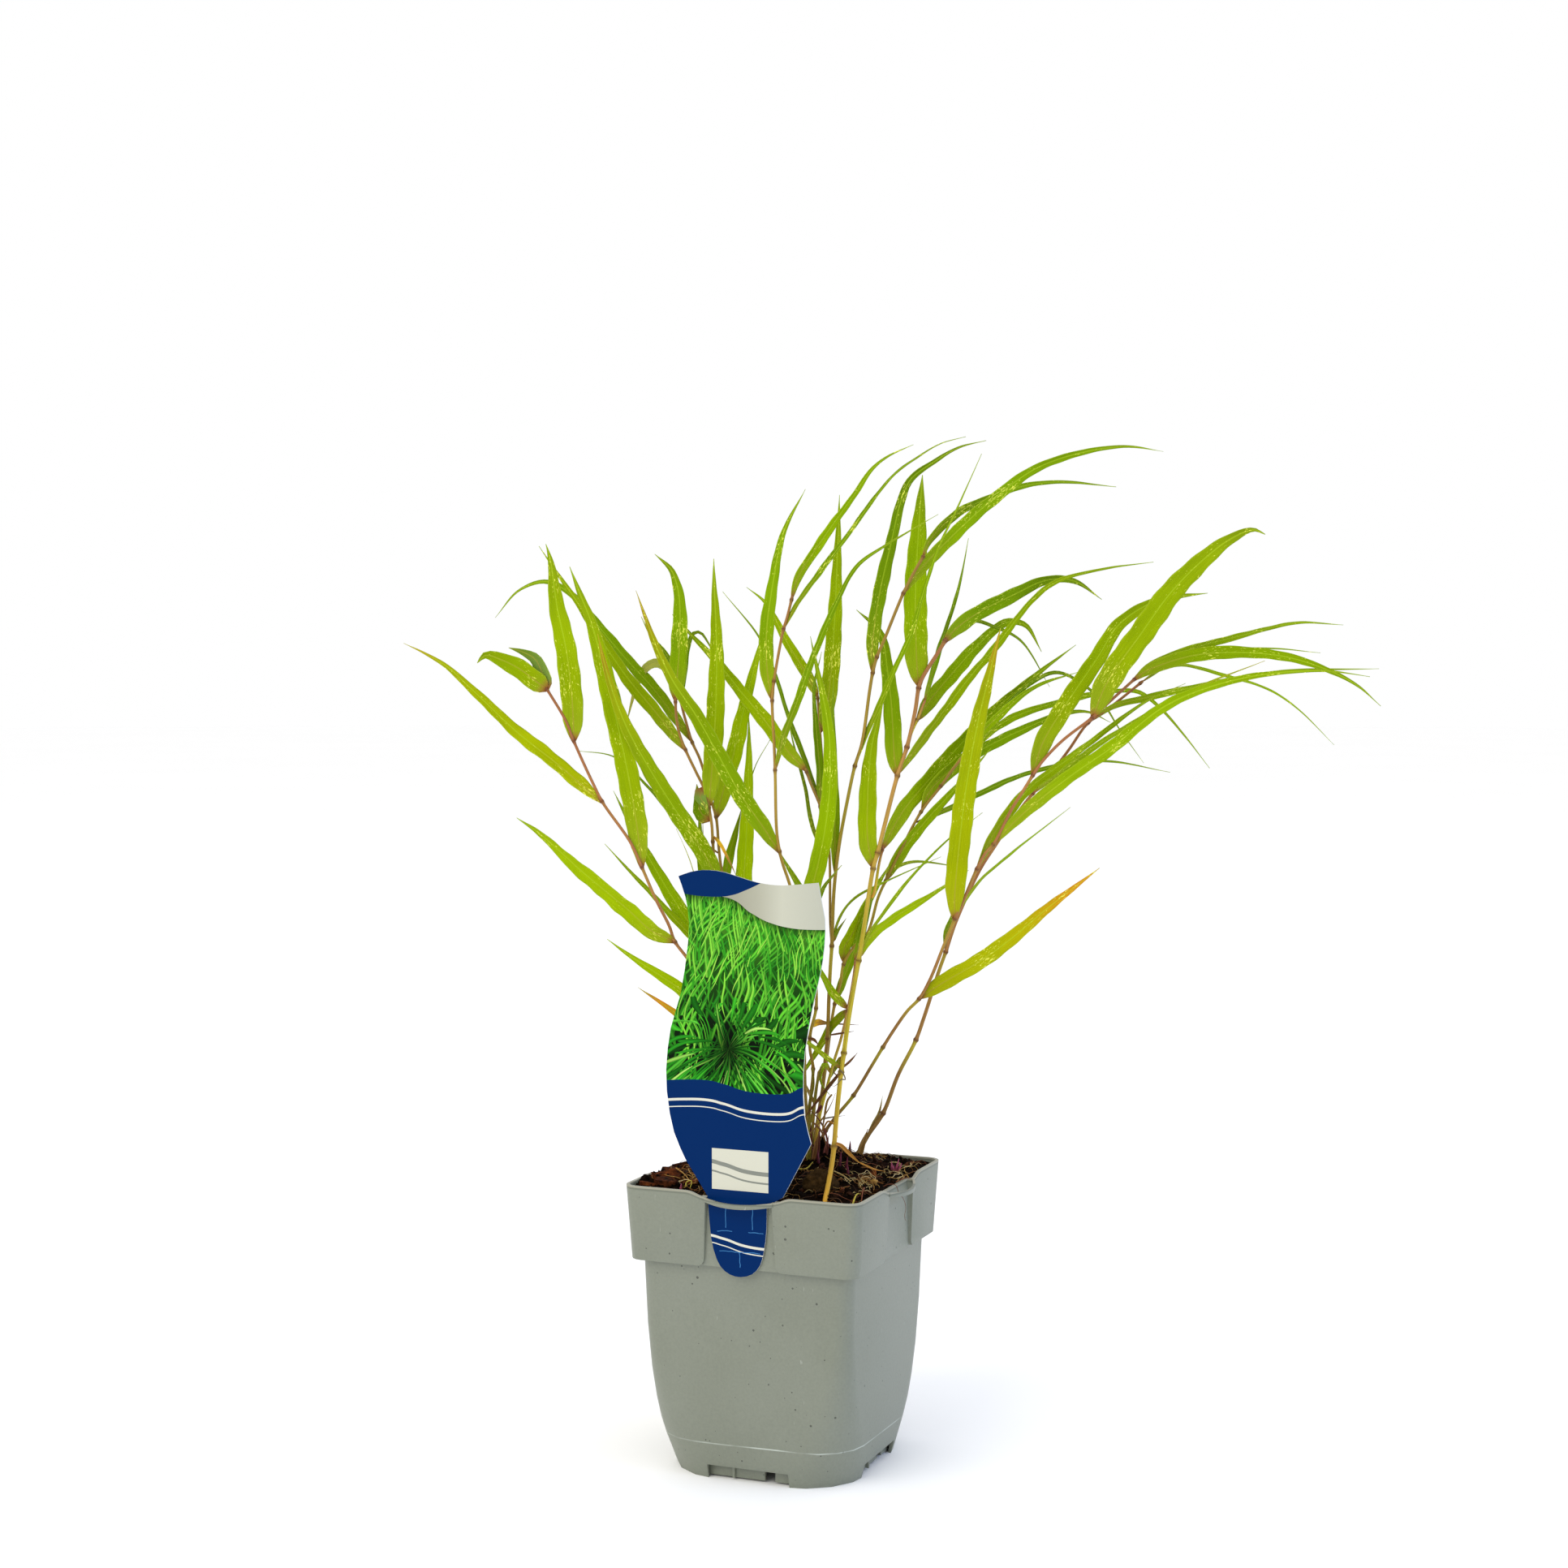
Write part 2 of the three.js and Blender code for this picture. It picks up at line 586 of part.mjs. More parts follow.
// Second stem from the left, with the two leaves that cross the fan.
stems.stem_left_front = {
  culms: [
    culm(1.5, 1.2, [6, 134, 6], [0, 155, 4], [-10, 180, 2], [-20, 215, 0], [-27, 245, -3],
      [-28.5, 252, -4], [-31.5, 264, -5], [-32.5, 275, -7, NODE], [-33, 283, -9],
      [-34.3, 291, -10, NODE], [-36.2, 298.5, -10], [-40, 306.5, -10],
      [-44.5, 316, -10, NODE], [-47.3, 323.5, -10], [-48.5, 330, -10],
      [-49, 338, -10, NODE]),
  ],
  leaves: [
    leaf(7.5, 0, -15, [-49, 338], [-48.5, 345], [-47.2, 362], [-47.1, 382],
      [-48.5, 390], [-51, 396], [-58, 402.5]),
    leaf(6.3, -20, 0, [-44.5, 316], [-50, 323], [-60, 335.3], [-70, 347.5], [-80, 362],
      [-92, 381], [-103, 397], [-109, 406]),
    leaf(8, 0, [-18, -22], [-34.3, 291], [-33.5, 300], [-31.4, 330], [-30.7, 360],
      [-31.8, 390], [-31.9, 400.5]),
    leaf(8, 10, [-24, -40], [-28.5, 252], [-33, 264], [-40, 276], [-50, 291],
      [-60, 307], [-70, 325], [-76, 340], [-80, 353], [-83.3, 367.5]),
    leaf(4.5, 40, -8, [-23.5, 215], [-34, 225.5], [-44, 235.5], [-60, 252.5],
      [-70, 263], [-80.5, 274.5]),
    leaf(5, 0, -3, [-23, 222], [-30, 238], [-35, 250], [-37.8, 266], [-38.3, 284],
      [-39.5, 297.5]),
    leaf(1.5, 40, -16, [-32.6, 278], [-30, 275.5], [-26.5, 269.5], [-22.3, 260.5]),
  ],
};

// Third stem, behind the second and beside it nearly all the way up.
stems.stem_left_back = {
  culms: [
    culm(1.5, 1.2, [8.5, 134, 14], [2, 155, 11], [-8, 180, 8], [-17, 212, 6],
      [-24, 240, 4], [-28.7, 263, 3], [-29.8, 272, 3], [-31, 286, 2, NODE],
      [-33, 293, 2], [-38, 311.5, 2], [-41.8, 320, 2, NODE], [-44, 327.5, 2],
      [-45, 331, 2], [-46.8, 338.5, 2, NODE]),
  ],
  leaves: [
    leaf(5.5, 30, 15, [-41.8, 320], [-50, 332], [-60, 345], [-70, 355.8], [-80, 367.5],
      [-88, 377.5], [-95, 385], [-106, 390.5], [-118, 386.5], [-128.5, 374.5]),
    leaf(7.5, 15, 5, [-31, 286], [-28, 297], [-23.5, 313], [-20, 328], [-16.5, 343],
      [-9.5, 370]),
    leaf(5, 30, 12, [-46.8, 339], [-51, 350], [-56, 354.5], [-62, 352.5], [-66, 345],
      [-70.5, 328.5]),
    leaf(3, 45, 8, [-46.8, 339], [-50, 352], [-53, 358.5], [-60, 367], [-64, 375]),
    leaf(3, 35, 6, [-46.8, 338.5], [-45, 350], [-43.8, 360], [-41, 367.5], [-38, 368],
      [-34.5, 363.5], [-31, 356]),
    leaf(7, 0, 3, [-20, 222], [-34, 228], [-44, 240.5], [-55, 258], [-68, 281],
      [-76.5, 298]),
    leaf(5, 30, 8, [-27.5, 256], [-26.5, 262], [-25, 270], [-22.5, 279], [-19.8, 290]),
    leaf(7.3, 0, 5, [-21.5, 230], [-19.5, 245], [-18.6, 262], [-17.6, 280],
      [-16.5, 310], [-16.5, 332]),
    leaf(1.5, 45, 10, [-23.5, 238], [-18, 290], [-14, 308], [-7, 320.8]),
    leaf(2, 40, 0, [-29.5, 270], [-45, 281], [-60, 298.5], [-76, 313], [-92, 315.7]),
  ],
};

// Stem of the front middle, with the long leaf that crosses to the left.
stems.stem_middle_front = {
  culms: [
    culm(1.5, 1.2, [9.5, 139, -4], [9.5, 148, -5], [8.5, 165, -7], [8, 190, -10],
      [7, 215, -14], [5.8, 236, -18], [1.8, 255.5, -22], [-1.5, 265.5, -24],
      [-2.8, 270.5, -25, NODE], [-4.2, 280, -27], [-4.9, 307, -30, NODE],
      [-5.4, 320, -30], [-6.2, 338, -30, NODE], [-5.5, 346, -30, NODE],
      [-3.5, 358, -30], [-1.3, 369, -30, NODE], [0.5, 375, -29], [2.5, 383, -28, NODE]),
  ],
  leaves: [
    leaf(4.5, 35, -28, [2.5, 383], [5, 391.5], [10, 400], [20, 414.5], [30, 428.5],
      [38, 440], [45, 445.5], [56, 450.5]),
    leaf(3, -45, -18, [-1, 369.5], [5, 381], [15, 395], [25, 408], [35, 422], [48, 438],
      [57, 444.5], [68, 451], [79, 454]),
    leaf(6.5, 0, -30, [-6.3, 338.5], [-8.3, 350], [-8.7, 368], [-5.8, 390],
      [-1.2, 412], [8.5, 431]),
    leaf(3.8, 35, [-40, -50], [-4.9, 307], [-1, 322], [5.5, 339], [13, 360],
      [21.7, 380], [31, 397], [45, 407], [55, 413], [67, 420]),
    leaf(7.5, 0, [-36, -30], [-2.8, 270.5], [-10, 281.5], [-20, 296], [-40, 331.5],
      [-50, 346.5], [-57.5, 362], [-66.3, 386.5]),
    leaf(7.5, 0, [-24, -12], [5.8, 236], [11.5, 255], [16, 274], [18.8, 293],
      [19.5, 310], [18.5, 327], [10.7, 366.3]),
  ],
};

// Stem behind it, nearly upright.
stems.stem_middle = {
  culms: [
    culm(1.5, 1.2, [10, 140, 5], [10.4, 155, 3], [11, 162, 2], [12, 174.5, 0, NODE],
      [10.7, 182, -1], [10.5, 187.5, -2, NODE], [11.2, 192, -3], [13.3, 201, -5, NODE],
      [13.3, 215, -6], [13.5, 240, -8], [13.7, 262, -9], [15.1, 291, -10, NODE],
      [14, 294, -10], [11, 301, -11], [8.8, 307, -12, NODE]),
  ],
  leaves: [
    leaf(6.5, 10, -5, [8.8, 307], [0, 316.5], [-10, 330], [-20, 342], [-30, 354.5],
      [-40, 365], [-50.3, 376]),
    leaf(2.8, 45, 15, [15.1, 291.5], [12.5, 300], [4, 323], [-1, 337], [-5, 350],
      [-12, 366], [-28, 386]),
    leaf(2.2, 40, -3, [13.8, 274], [11, 285], [8.5, 299], [3, 320], [0.5, 332]),
    leaf(3.8, 30, 0, [15.2, 291], [15, 305], [12.7, 334], [12.3, 344], [15.7, 359.5]),
    leaf(4.5, 25, -12, [13.6, 238], [10, 248], [5, 257], [0, 265.5], [-3.5, 272]),
    leaf(2, 30, -10, [13.5, 247], [17, 255.5], [20.5, 260], [24.7, 265]),
    leaf(2.5, 30, [9, 10], [11.7, 194], [16, 194.5], [22, 194.3], [32.3, 193.8]),
  ],
};

// Tallest stem of the middle, with a pale side shoot.
stems.stem_middle_right = {
  culms: [
    culm(1.6, 1.2, [13.7, 141, 10], [14.5, 150, 9], [16.3, 165, 7], [17.8, 182, 5],
      [18.4, 187.5, 4, NODE], [19, 205, 2], [19.7, 220, 1], [20.3, 229, 0, NODE],
      [21, 250, -4], [22, 262, -6], [24, 277, -8], [27, 293, -12],
      [30.3, 308.5, -15, NODE], [33.5, 319, -17], [37, 343, -21],
      [38.2, 350, -22, NODE], [40, 357, -23, NODE], [43, 364, -25],
      [51.8, 385.5, -28, NODE], [57, 395.5, -29], [60.2, 401, -30, NODE]),
    culm(1.2, 1.1, [20.3, 229, 0], [19.6, 240, 0], [19.3, 268, 1], [18, 285, 2],
      [15.2, 322, 3], [13.9, 339.5, 5, NODE]),
  ],
  leaves: [
    leaf(6, 10, -10, [38, 350.5], [38, 360], [40.5, 381], [46, 406], [51, 427],
      [55, 435.5], [65, 443], [76, 449.3], [88, 452.3]),
    leaf(5.5, 20, -20, [51.8, 385.8], [60, 396.5], [75, 412], [90, 425.5], [110, 440],
      [130, 447], [150, 449.7], [166, 447.5]),
    leaf(4, 35, 5, [60.2, 401.5], [63, 408], [75, 420], [90, 427.3], [103, 432],
      [120, 434.2], [145.3, 432]),
    leaf(3, -45, [-30, -50], [30.3, 309], [35, 322], [42, 338], [48, 352], [56, 370],
      [60, 384], [67, 405], [75, 422], [86, 446.5]),
    leaf(5, 15, 12, [13.9, 339.5], [10, 348], [0, 364.5], [-9, 381], [-17.5, 388]),
    leaf(7.3, 0, 0, [15, 324], [17.5, 332], [20, 352], [21.3, 372], [22.6, 402],
      [23.5, 428.5]),
    leaf(4.5, 30, -9, [21, 261], [21.8, 275], [21.5, 303], [20.7, 335], [21.1, 350]),
    leaf(1.5, 40, -4, [21, 231], [24, 242], [30, 250], [45, 258], [68.7, 268.7]),
    leaf(2, 30, -2, [20.5, 230], [22.5, 235], [26.7, 241.3]),
  ],
};

// Stout straw-coloured stem with two side shoots.
stems.stem_stout = {
  culms: [
    culm(2, 1.5, [17.6, 121.5, -36], [20.3, 130.5, -34], [21.3, 138.5, -32, NODE],
      [22.3, 151, -29], [24, 168, -25], [24.5, 172.5, -24, NODE], [25.7, 181, -22, NODE],
      [27.3, 193, -20], [29.5, 207, -18], [32.2, 222.3, -16, NODE], [34.7, 238, -15],
      [38.7, 264, -14, NODE], [40.5, 270, -14, NODE], [43.7, 283, -13],
      [49.2, 304.5, -12, NODE], [53.5, 317.5, -12, NODE], [57, 333, -12],
      [58.7, 344, -12, NODE], [60.5, 348.5, -13], [67, 359, -14], [70, 364, -15, NODE]),
    culm(1.4, 1.1, [53.5, 318, -12], [55.5, 324, -12], [58, 329.5, -11, NODE],
      [61, 337, -11]),
    culm(1.4, 1.1, [37.5, 250, -14], [38.8, 252, -13], [41.3, 266, -11],
      [42.8, 272.3, -10, NODE]),
  ],
  leaves: [
    leaf(8, 0, -10, [38.6, 264], [36.3, 275], [36, 290], [37.8, 317], [43, 338]),
    leaf(7.5, 0, -5, [49.2, 304.8], [48, 312], [46.8, 333], [44.7, 352], [41.5, 368],
      [31, 378]),
    leaf(4.5, 35, -5, [50, 305], [55, 313], [65, 326.7], [80, 346.5], [95, 364.8],
      [110, 383.7], [120, 390.7], [140, 396], [162, 399]),
    leaf(10, 0, -15, [58.7, 344.5], [58, 351], [57.1, 375], [57.2, 390], [58.5, 415],
      [60, 437.3]),
    leaf(7, 20, [5, 15], [58, 329.5], [65, 339.5], [75, 351.5], [85, 362.5],
      [95, 371.5], [100, 372.8], [106, 371], [112.8, 359.5]),
    leaf(6.3, 15, 5, [70, 364], [75, 369.5], [85, 376.7], [100, 384.3], [115, 391],
      [127, 390.7], [139.3, 382.5]),
    leaf(2, 40, [8, 25], [70, 365], [82, 373], [92, 370.5], [104, 364], [116.5, 344]),
    leaf(3.3, 45, 5, [61, 337], [64, 348], [71.5, 372.5], [76.5, 389], [80.4, 409.5]),
    leaf(7, 10, [8, 20], [43.2, 272.5], [52, 289], [67, 307], [82, 323.5], [97, 338],
      [112, 350.5], [128, 362.5]),
    leaf(5, 30, 3, [33, 223.5], [36, 231], [48, 241.5], [62, 250], [81, 262.7]),
    leaf(2, 40, -5, [34, 226], [38, 236], [55, 259], [72, 276.5], [87, 288.3]),
    leaf(2.8, 35, -28, [24.5, 174], [20, 177.5], [10, 185.5], [0, 192]),
    leaf(2.5, 30, -24, [25.5, 180], [22.5, 175.5], [20, 170]),
    leaf(1.3, 30, -26, [24.3, 172.5], [19, 167.5], [14, 161], [9.5, 156]),
  ],
};

// Stem at the back that bears most of the thin dark leaves of the right.
stems.stem_right_back = {
  culms: [
    culm(1.5, 1.2, [12.5, 140, 20], [15, 158, 17], [17, 170, 15], [19.8, 192, 13],
      [21.7, 203.5, 12, NODE], [24, 212, 10], [25.7, 221.3, 8, NODE], [30.5, 229, 5],
      [36, 234.5, 2], [41, 251, 1], [44.3, 258.3, 0, NODE], [51, 272, -2],
      [60, 289, -4, NODE], [68.5, 300, -5, NODE], [73, 306.5, -5],
      [79, 314, -6, NODE]),
  ],
  leaves: [
    leaf(5.5, 20, -10, [44.3, 258.3], [50, 268.5], [60, 282.3], [70, 293.5],
      [81, 305.5], [90.8, 317]),
    leaf(1.7, 40, 12, [44.5, 259], [50, 264.5], [58, 266.5], [78, 264]),
    leaf(6, 15, 15, [60, 289.5], [64, 298], [78, 311], [95, 320.5], [108, 326.5],
      [120, 331.5], [133, 333], [143.5, 328.3]),
    leaf(4, 35, [10, 20], [68.5, 300.5], [80, 314], [95, 327.5], [110, 334],
      [137, 340.8], [155, 342], [165, 335], [175, 324], [187.5, 308]),
    leaf(4, 30, 8, [79, 314.5], [85, 322], [95, 332], [110, 344], [129, 350.5]),
    leaf(2.5, 40, [20, 35], [79, 314.5], [95, 333], [108, 345.5], [120, 350.3],
      [137, 340.5], [148, 324.5], [158.3, 310.3]),
    leaf(3, 35, 35, [57, 284], [72, 290], [84, 296], [110, 306.7], [140, 311.2],
      [170, 306.2]),
    leaf(5.5, 15, 6, [25.7, 221.5], [26, 228], [30, 235], [36, 248], [47, 267]),
    leaf(4.5, 30, 5, [21.7, 204], [24, 210], [30, 226], [34, 240], [38, 252]),
  ],
};

// Short stem inside the clump.
stems.stem_short = {
  culms: [
    culm(1.5, 1.2, [13, 139, -2], [15, 153, -2], [18, 165, -1], [21.2, 177, -2],
      [24.3, 187, -2], [27.3, 200, -4, NODE], [30, 215, -5], [30.8, 222, -5]),
  ],
  leaves: [
    leaf(4, 30, [9, 12], [27.3, 200.5], [20, 193], [15, 184], [3, 165]),
    leaf(4, 30, -2, [27, 201], [22, 206.5], [17, 214.5], [10, 228]),
    leaf(3.5, 20, -8, [30.8, 222], [33, 232], [39.5, 255], [41, 259]),
  ],
};

// Long stem that leans to the right, with the longest leaves.
stems.stem_right_outer = {
  culms: [
    culm(1.7, 1.3, [14.5, 139, 16], [17.5, 146, 13, NODE], [23, 153.5, 10],
      [30, 162, 8, NODE], [38.5, 176, 5], [43, 183.5, 3, NODE], [48, 191.5, 0],
      [54, 200, -3], [59.3, 205.5, -5, NODE], [64, 214, -8], [70, 229, -12],
      [74.7, 240.5, -15, NODE], [79, 250, -15], [84.5, 263, -16, NODE],
      [88.5, 270.5, -17], [92, 274.3, -18, NODE], [100, 290, -19], [105, 298, -20],
      [109, 304.5, -20, NODE], [113, 310.5, -20], [122, 320, -21],
      [135.5, 330.5, -22, NODE], [142, 336.5, -20], [153.5, 347, -15, NODE]),
  ],
  leaves: [
    leaf(9.2, 0, -45, [74.7, 241], [74.8, 250], [76.9, 275], [80.3, 303], [84.8, 328],
      [89.7, 349], [94.7, 370]),
    leaf(7.3, -15, -30, [59.8, 205.5], [70, 212.8], [85, 221.5], [100, 232.3],
      [115, 245], [139, 263.7]),
    leaf(8, 0, -10, [109, 305], [113.5, 319], [123, 335], [138, 357.5],
      [146.5, 371], [160, 380.5], [172, 383.7], [186, 385.3]),
    leaf(10.5, 0, -60, [135.5, 331], [142, 346], [156.5, 367], [171, 387],
      [188, 403.5], [197, 409.8], [206, 413.3], [211.1, 411.2]),
    leaf(4, 35, 25, [154.5, 347.5], [160, 353], [180, 361], [200, 366.3],
      [225, 372.2], [246, 371.3]),
    leaf(6, -15, -25, [154.5, 347.5], [160, 351.5], [180, 358], [200, 359.3],
      [220, 357.5], [238, 352], [252, 345], [263, 335.5]),
    leaf(6, -20, -50, [92.5, 274.8], [105, 288], [125, 304], [145, 318], [165, 334],
      [180, 341.5], [200, 347.5], [220, 350.5], [240, 351], [258, 348.5]),
    leaf(5, 30, -11, [84.7, 263.3], [93, 280], [107, 298], [127, 313.5], [147, 329],
      [160, 338], [176.5, 345.5]),
    leaf(1.7, 40, 25, [76, 245], [86, 258], [100, 270.3], [126, 290.7]),
  ],
};

// Long stem behind it, from a brown sheath at the right of the crown.
stems.stem_right_rear = {
  culms: [
    culm(2.6, 1.2, [31.8, 134, 20], [36.2, 143.5, 18], [43.2, 154, 16, NODE],
      [50, 171.5, 14], [57.6, 186.5, 12, NODE], [61.5, 197.5, 11], [68, 218, 7],
      [71, 226.5, 5, NODE], [75.5, 240, 3], [86, 263, 1], [92, 272.5, 0],
      [101, 286, -1], [109, 296.5, -2, NODE], [117, 305.5, -3], [125, 316, -4],
      [133.5, 328, -5, NODE], [142, 334, -5], [157, 346, -5, NODE]),
  ],
  leaves: [
    leaf(2, 40, 5, [157, 346.3], [170, 354.5], [185, 359], [213, 361], [236, 359]),
    leaf(1.8, 40, 30, [157, 346], [165, 351.5], [175, 353.6], [195, 348.7],
      [213, 343], [226, 334.5], [242.5, 318.3]),
    leaf(3.5, 35, -20, [134.5, 329.5], [145, 335.5], [160, 339.3], [190, 345.7],
      [220, 350.8], [262, 352]),
    leaf(3, 35, -35, [109, 297], [120, 305], [140, 319.7], [160, 332], [180, 343],
      [211.5, 355.5]),
    leaf(3, 35, 10, [70.8, 226.5], [71, 234], [74, 242], [78, 255], [82, 283]),
    leaf(1.2, 30, 17, [39.5, 148], [42, 152], [43, 161.5]),
  ],
};

// Dead culm, broken off above the soil, with a bent stub of sheath.
stems.dead_culm = {
  culms: [
    culm(1.6, 1.3, [11.5, 139, 12], [12, 150, 12], [13.5, 165, 12], [14.5, 172, 12]),
  ],
  leaves: [
    leaf(1.6, 30, 14, [12.8, 158], [9, 166], [6.5, 172]),
  ],
};

// ---------------------------------------------------------------- soil

// Uneven ground with a mound under the clump; the lumps are sums of waves.
function soilHeight(x, y) {
  const [across, back] = CROWN;
  const turn = THREE.MathUtils.degToRad(PLANT_TURN);
  const crownX = across * Math.cos(turn) - back * Math.sin(turn);
  const crownY = across * Math.sin(turn) + back * Math.cos(turn);
  const distance = Math.hypot(x - crownX, y - crownY) / SOIL_MOUND_SPREAD;
  const broad = Math.sin(x * 0.31 + 1) * Math.cos(y * 0.27);
  const fine = Math.sin(x * 0.7 - y * 0.53);
  const [fallX, fallY] = [x, y].map((offset) => 1 - (offset / COLLAR_TOP_HALF) ** 4);
  const dome = SOIL_DOME * Math.max(0, fallX) * Math.max(0, fallY);
  const mound = SOIL_MOUND * Math.exp(-distance * distance);
  return SOIL_EDGE_Z + dome + mound + SOIL_LUMP * (broad + 0.7 * fine);
}

function makeSoil(holes) {
  const reach = COLLAR_TOP_HALF + 2;
  const count = SOIL_GRID + 1;
  const points = [];
  for (let i = 0; i < count; i++) {
    for (let j = 0; j < count; j++) {
      const x = -reach + (2 * reach * i) / SOIL_GRID;
      const y = -reach + (2 * reach * j) / SOIL_GRID;
      points.push(new THREE.Vector3(x, y, soilHeight(x, y)));
    }
  }
  const foot = points.length;
  points.push(...points.map((point) => new THREE.Vector3(point.x, point.y, 0)));
  const faces = [];
  const edge = [];
  for (let i = 0; i < SOIL_GRID; i++) {
    for (let j = 0; j < SOIL_GRID; j++) {
      const a = i * count + j;
      faces.push([a, a + count, a + count + 1], [a, a + count + 1, a + 1]);
      faces.push([foot + a, foot + a + count + 1, foot + a + count]);
      faces.push([foot + a, foot + a + 1, foot + a + count + 1]);
    }
    edge.push([i * count, (i + 1) * count], [(i + 2) * count - 1, (i + 1) * count - 1]);
    edge.push([i + 1, i], [SOIL_GRID * count + i, SOIL_GRID * count + i + 1]);
  }
  for (const [a, b] of edge) {
    faces.push([b, a, foot + a], [b, foot + a, foot + b]);
  }
  const ground = toSolid(closedGeometry(points, faces));
  const mass = ground.intersect(potRoom(CLEARANCE, POT_HEIGHT + 20));
  return cutAway(mass, [...onEachSide(slotBlock(POT_HEIGHT + 20, CLEARANCE)), ...holes]);
}

// ---------------------------------------------------------------- assembly

const grass = new THREE.Group();
const pot = makePot();
const label = makeLabel();
const turned = [0, 0, PLANT_TURN];
const holes = Object.values(stems).map(({ culms }) => {
  const buried = culmPath(culms[0].points, true).filter(({ at }) => at.z < HOLE_TOP_Z);
  return culmSolid(buried, culms[0].size, HOLE_CLEARANCE).rotate(turned);
});
grass.add(pot, label, finish("soil", largest(makeSoil(holes)), 0x3b2a20, 0.95));
for (const [name, stem] of Object.entries(stems)) {
  const solid = largest(stemSolid(stem)).rotate(turned);
  grass.add(finish(name, solid, 0x5f7d33, 0.5));
}

export default grass;
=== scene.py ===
# %% [markdown]
# # Japanese forest grass in its nursery pot
#
# A young Hakonechloa is sold in a square grey pot with a plastic label pushed into the slot
# of the rim. The pot, the label, the soil and every leafy stem already exist as measured CAD
# solids. This lesson gives them their looks: it grows finer leaves and stems where the solids
# are plain, dresses the soil, and makes a material for each surface.
#
# The CAD model comes in first, as a fixed frame. All that follows is made around it, in
# metres, with Z up and the middle of the pot's underside at the origin.

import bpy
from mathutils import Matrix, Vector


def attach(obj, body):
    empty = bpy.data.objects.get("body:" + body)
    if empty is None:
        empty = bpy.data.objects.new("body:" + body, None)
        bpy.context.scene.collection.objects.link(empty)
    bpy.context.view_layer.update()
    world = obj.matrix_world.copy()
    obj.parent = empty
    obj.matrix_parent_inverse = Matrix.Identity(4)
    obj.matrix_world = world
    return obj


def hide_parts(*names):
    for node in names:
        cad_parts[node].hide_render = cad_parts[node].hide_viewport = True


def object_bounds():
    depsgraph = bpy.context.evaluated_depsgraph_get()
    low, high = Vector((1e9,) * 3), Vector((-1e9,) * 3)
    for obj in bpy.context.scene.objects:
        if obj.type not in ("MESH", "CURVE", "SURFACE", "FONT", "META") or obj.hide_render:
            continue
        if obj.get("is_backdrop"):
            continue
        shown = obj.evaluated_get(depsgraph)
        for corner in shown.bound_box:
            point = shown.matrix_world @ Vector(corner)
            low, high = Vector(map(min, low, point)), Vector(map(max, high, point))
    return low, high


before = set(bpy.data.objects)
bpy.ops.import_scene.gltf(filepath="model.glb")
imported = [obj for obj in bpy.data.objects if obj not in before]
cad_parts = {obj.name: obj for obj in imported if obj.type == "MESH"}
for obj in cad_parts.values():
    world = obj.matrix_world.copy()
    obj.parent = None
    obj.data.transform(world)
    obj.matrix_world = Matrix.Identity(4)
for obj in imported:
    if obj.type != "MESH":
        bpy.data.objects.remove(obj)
cad_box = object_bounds()
print("CAD nodes:", ", ".join(sorted(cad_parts)))

# %% Modules
import math
import random
from functools import partial, reduce
from itertools import accumulate

import bmesh
import bpy
from mathutils import Matrix, Quaternion, Vector, noise
from mathutils.bvhtree import BVHTree
from mathutils.geometry import interpolate_bezier

MM = 0.001
noise.seed_set(1)  # without a seed, the noise with a direction follows the clock

# %% [markdown]
# ## Camera, floor and light
#
# The plant is seen from slightly above the leaf tips, a little to the right of the pot's
# front, from a metre away. A long lens at that distance keeps the pot's sides nearly
# parallel. The place and the lens come from measuring the pot's corners in that view.

# %% Camera
def stand(name, data, spot, target):
    """Puts an object at a spot of the scene, looking at a target, both in metres."""
    made = bpy.data.objects.new(name, data)
    made.location = spot
    made.rotation_euler = (Vector(target) - made.location).to_track_quat("-Z", "Y").to_euler()
    bpy.context.collection.objects.link(made)
    return made


EYE = (0.42716, -1.05321, 0.35805)
AIM = (-0.00088, -0.00036, 0.30101)
camera = stand("camera", bpy.data.cameras.new("camera"), EYE, AIM)
camera.data.lens = 58.985
camera.data.sensor_width = 36
bpy.context.scene.camera = camera

# %% [markdown]
# A wide pale floor catches only a soft contact shadow. The light is that of a white studio:
# a bright, even surrounding, one broad lamp from the upper left for shape, and a cooler one
# from the right, which sets the pot's right side apart. Colours are shown plainly, without a
# film-like curve, so that the yellow-green of the leaves stays as bright as it is.


# %% Colours
def srgb(code):
    """Linear colour of an sRGB hex code."""
    shares = [int(code[k : k + 2], 16) / 255 for k in (1, 3, 5)]
    return [s / 12.92 if s <= 0.04045 else ((s + 0.055) / 1.055) ** 2.4 for s in shares] + [1]


bpy.context.scene.view_settings.view_transform = "Standard"


# %% Material helpers
def set_inputs(tree, node, inputs):
    """Gives inputs, by name or in order, a value, an sRGB code, a socket or a node's output."""
    for name, value in inputs.items() if isinstance(inputs, dict) else enumerate(inputs):
        if isinstance(value, bpy.types.Node):
            value = next(socket for socket in value.outputs if socket.enabled)
        if isinstance(value, bpy.types.NodeSocket):
            tree.links.new(value, node.inputs[name])
        else:
            node.inputs[name].default_value = srgb(value) if isinstance(value, str) else value


def add_node(tree, kind, inputs=(), stops=(), **settings):
    """Adds a node with its inputs, its settings and the stops of its colour ramp."""
    made = tree.nodes.new("ShaderNode" + kind)
    for name, value in settings.items():
        setattr(made, name, value)
    set_inputs(tree, made, inputs)
    for _ in stops[2:]:
        made.color_ramp.elements.new(0.5)
    for k, (place_on_ramp, code) in enumerate(stops):
        made.color_ramp.elements[k].position = place_on_ramp
        made.color_ramp.elements[k].color = srgb(code)
    return made


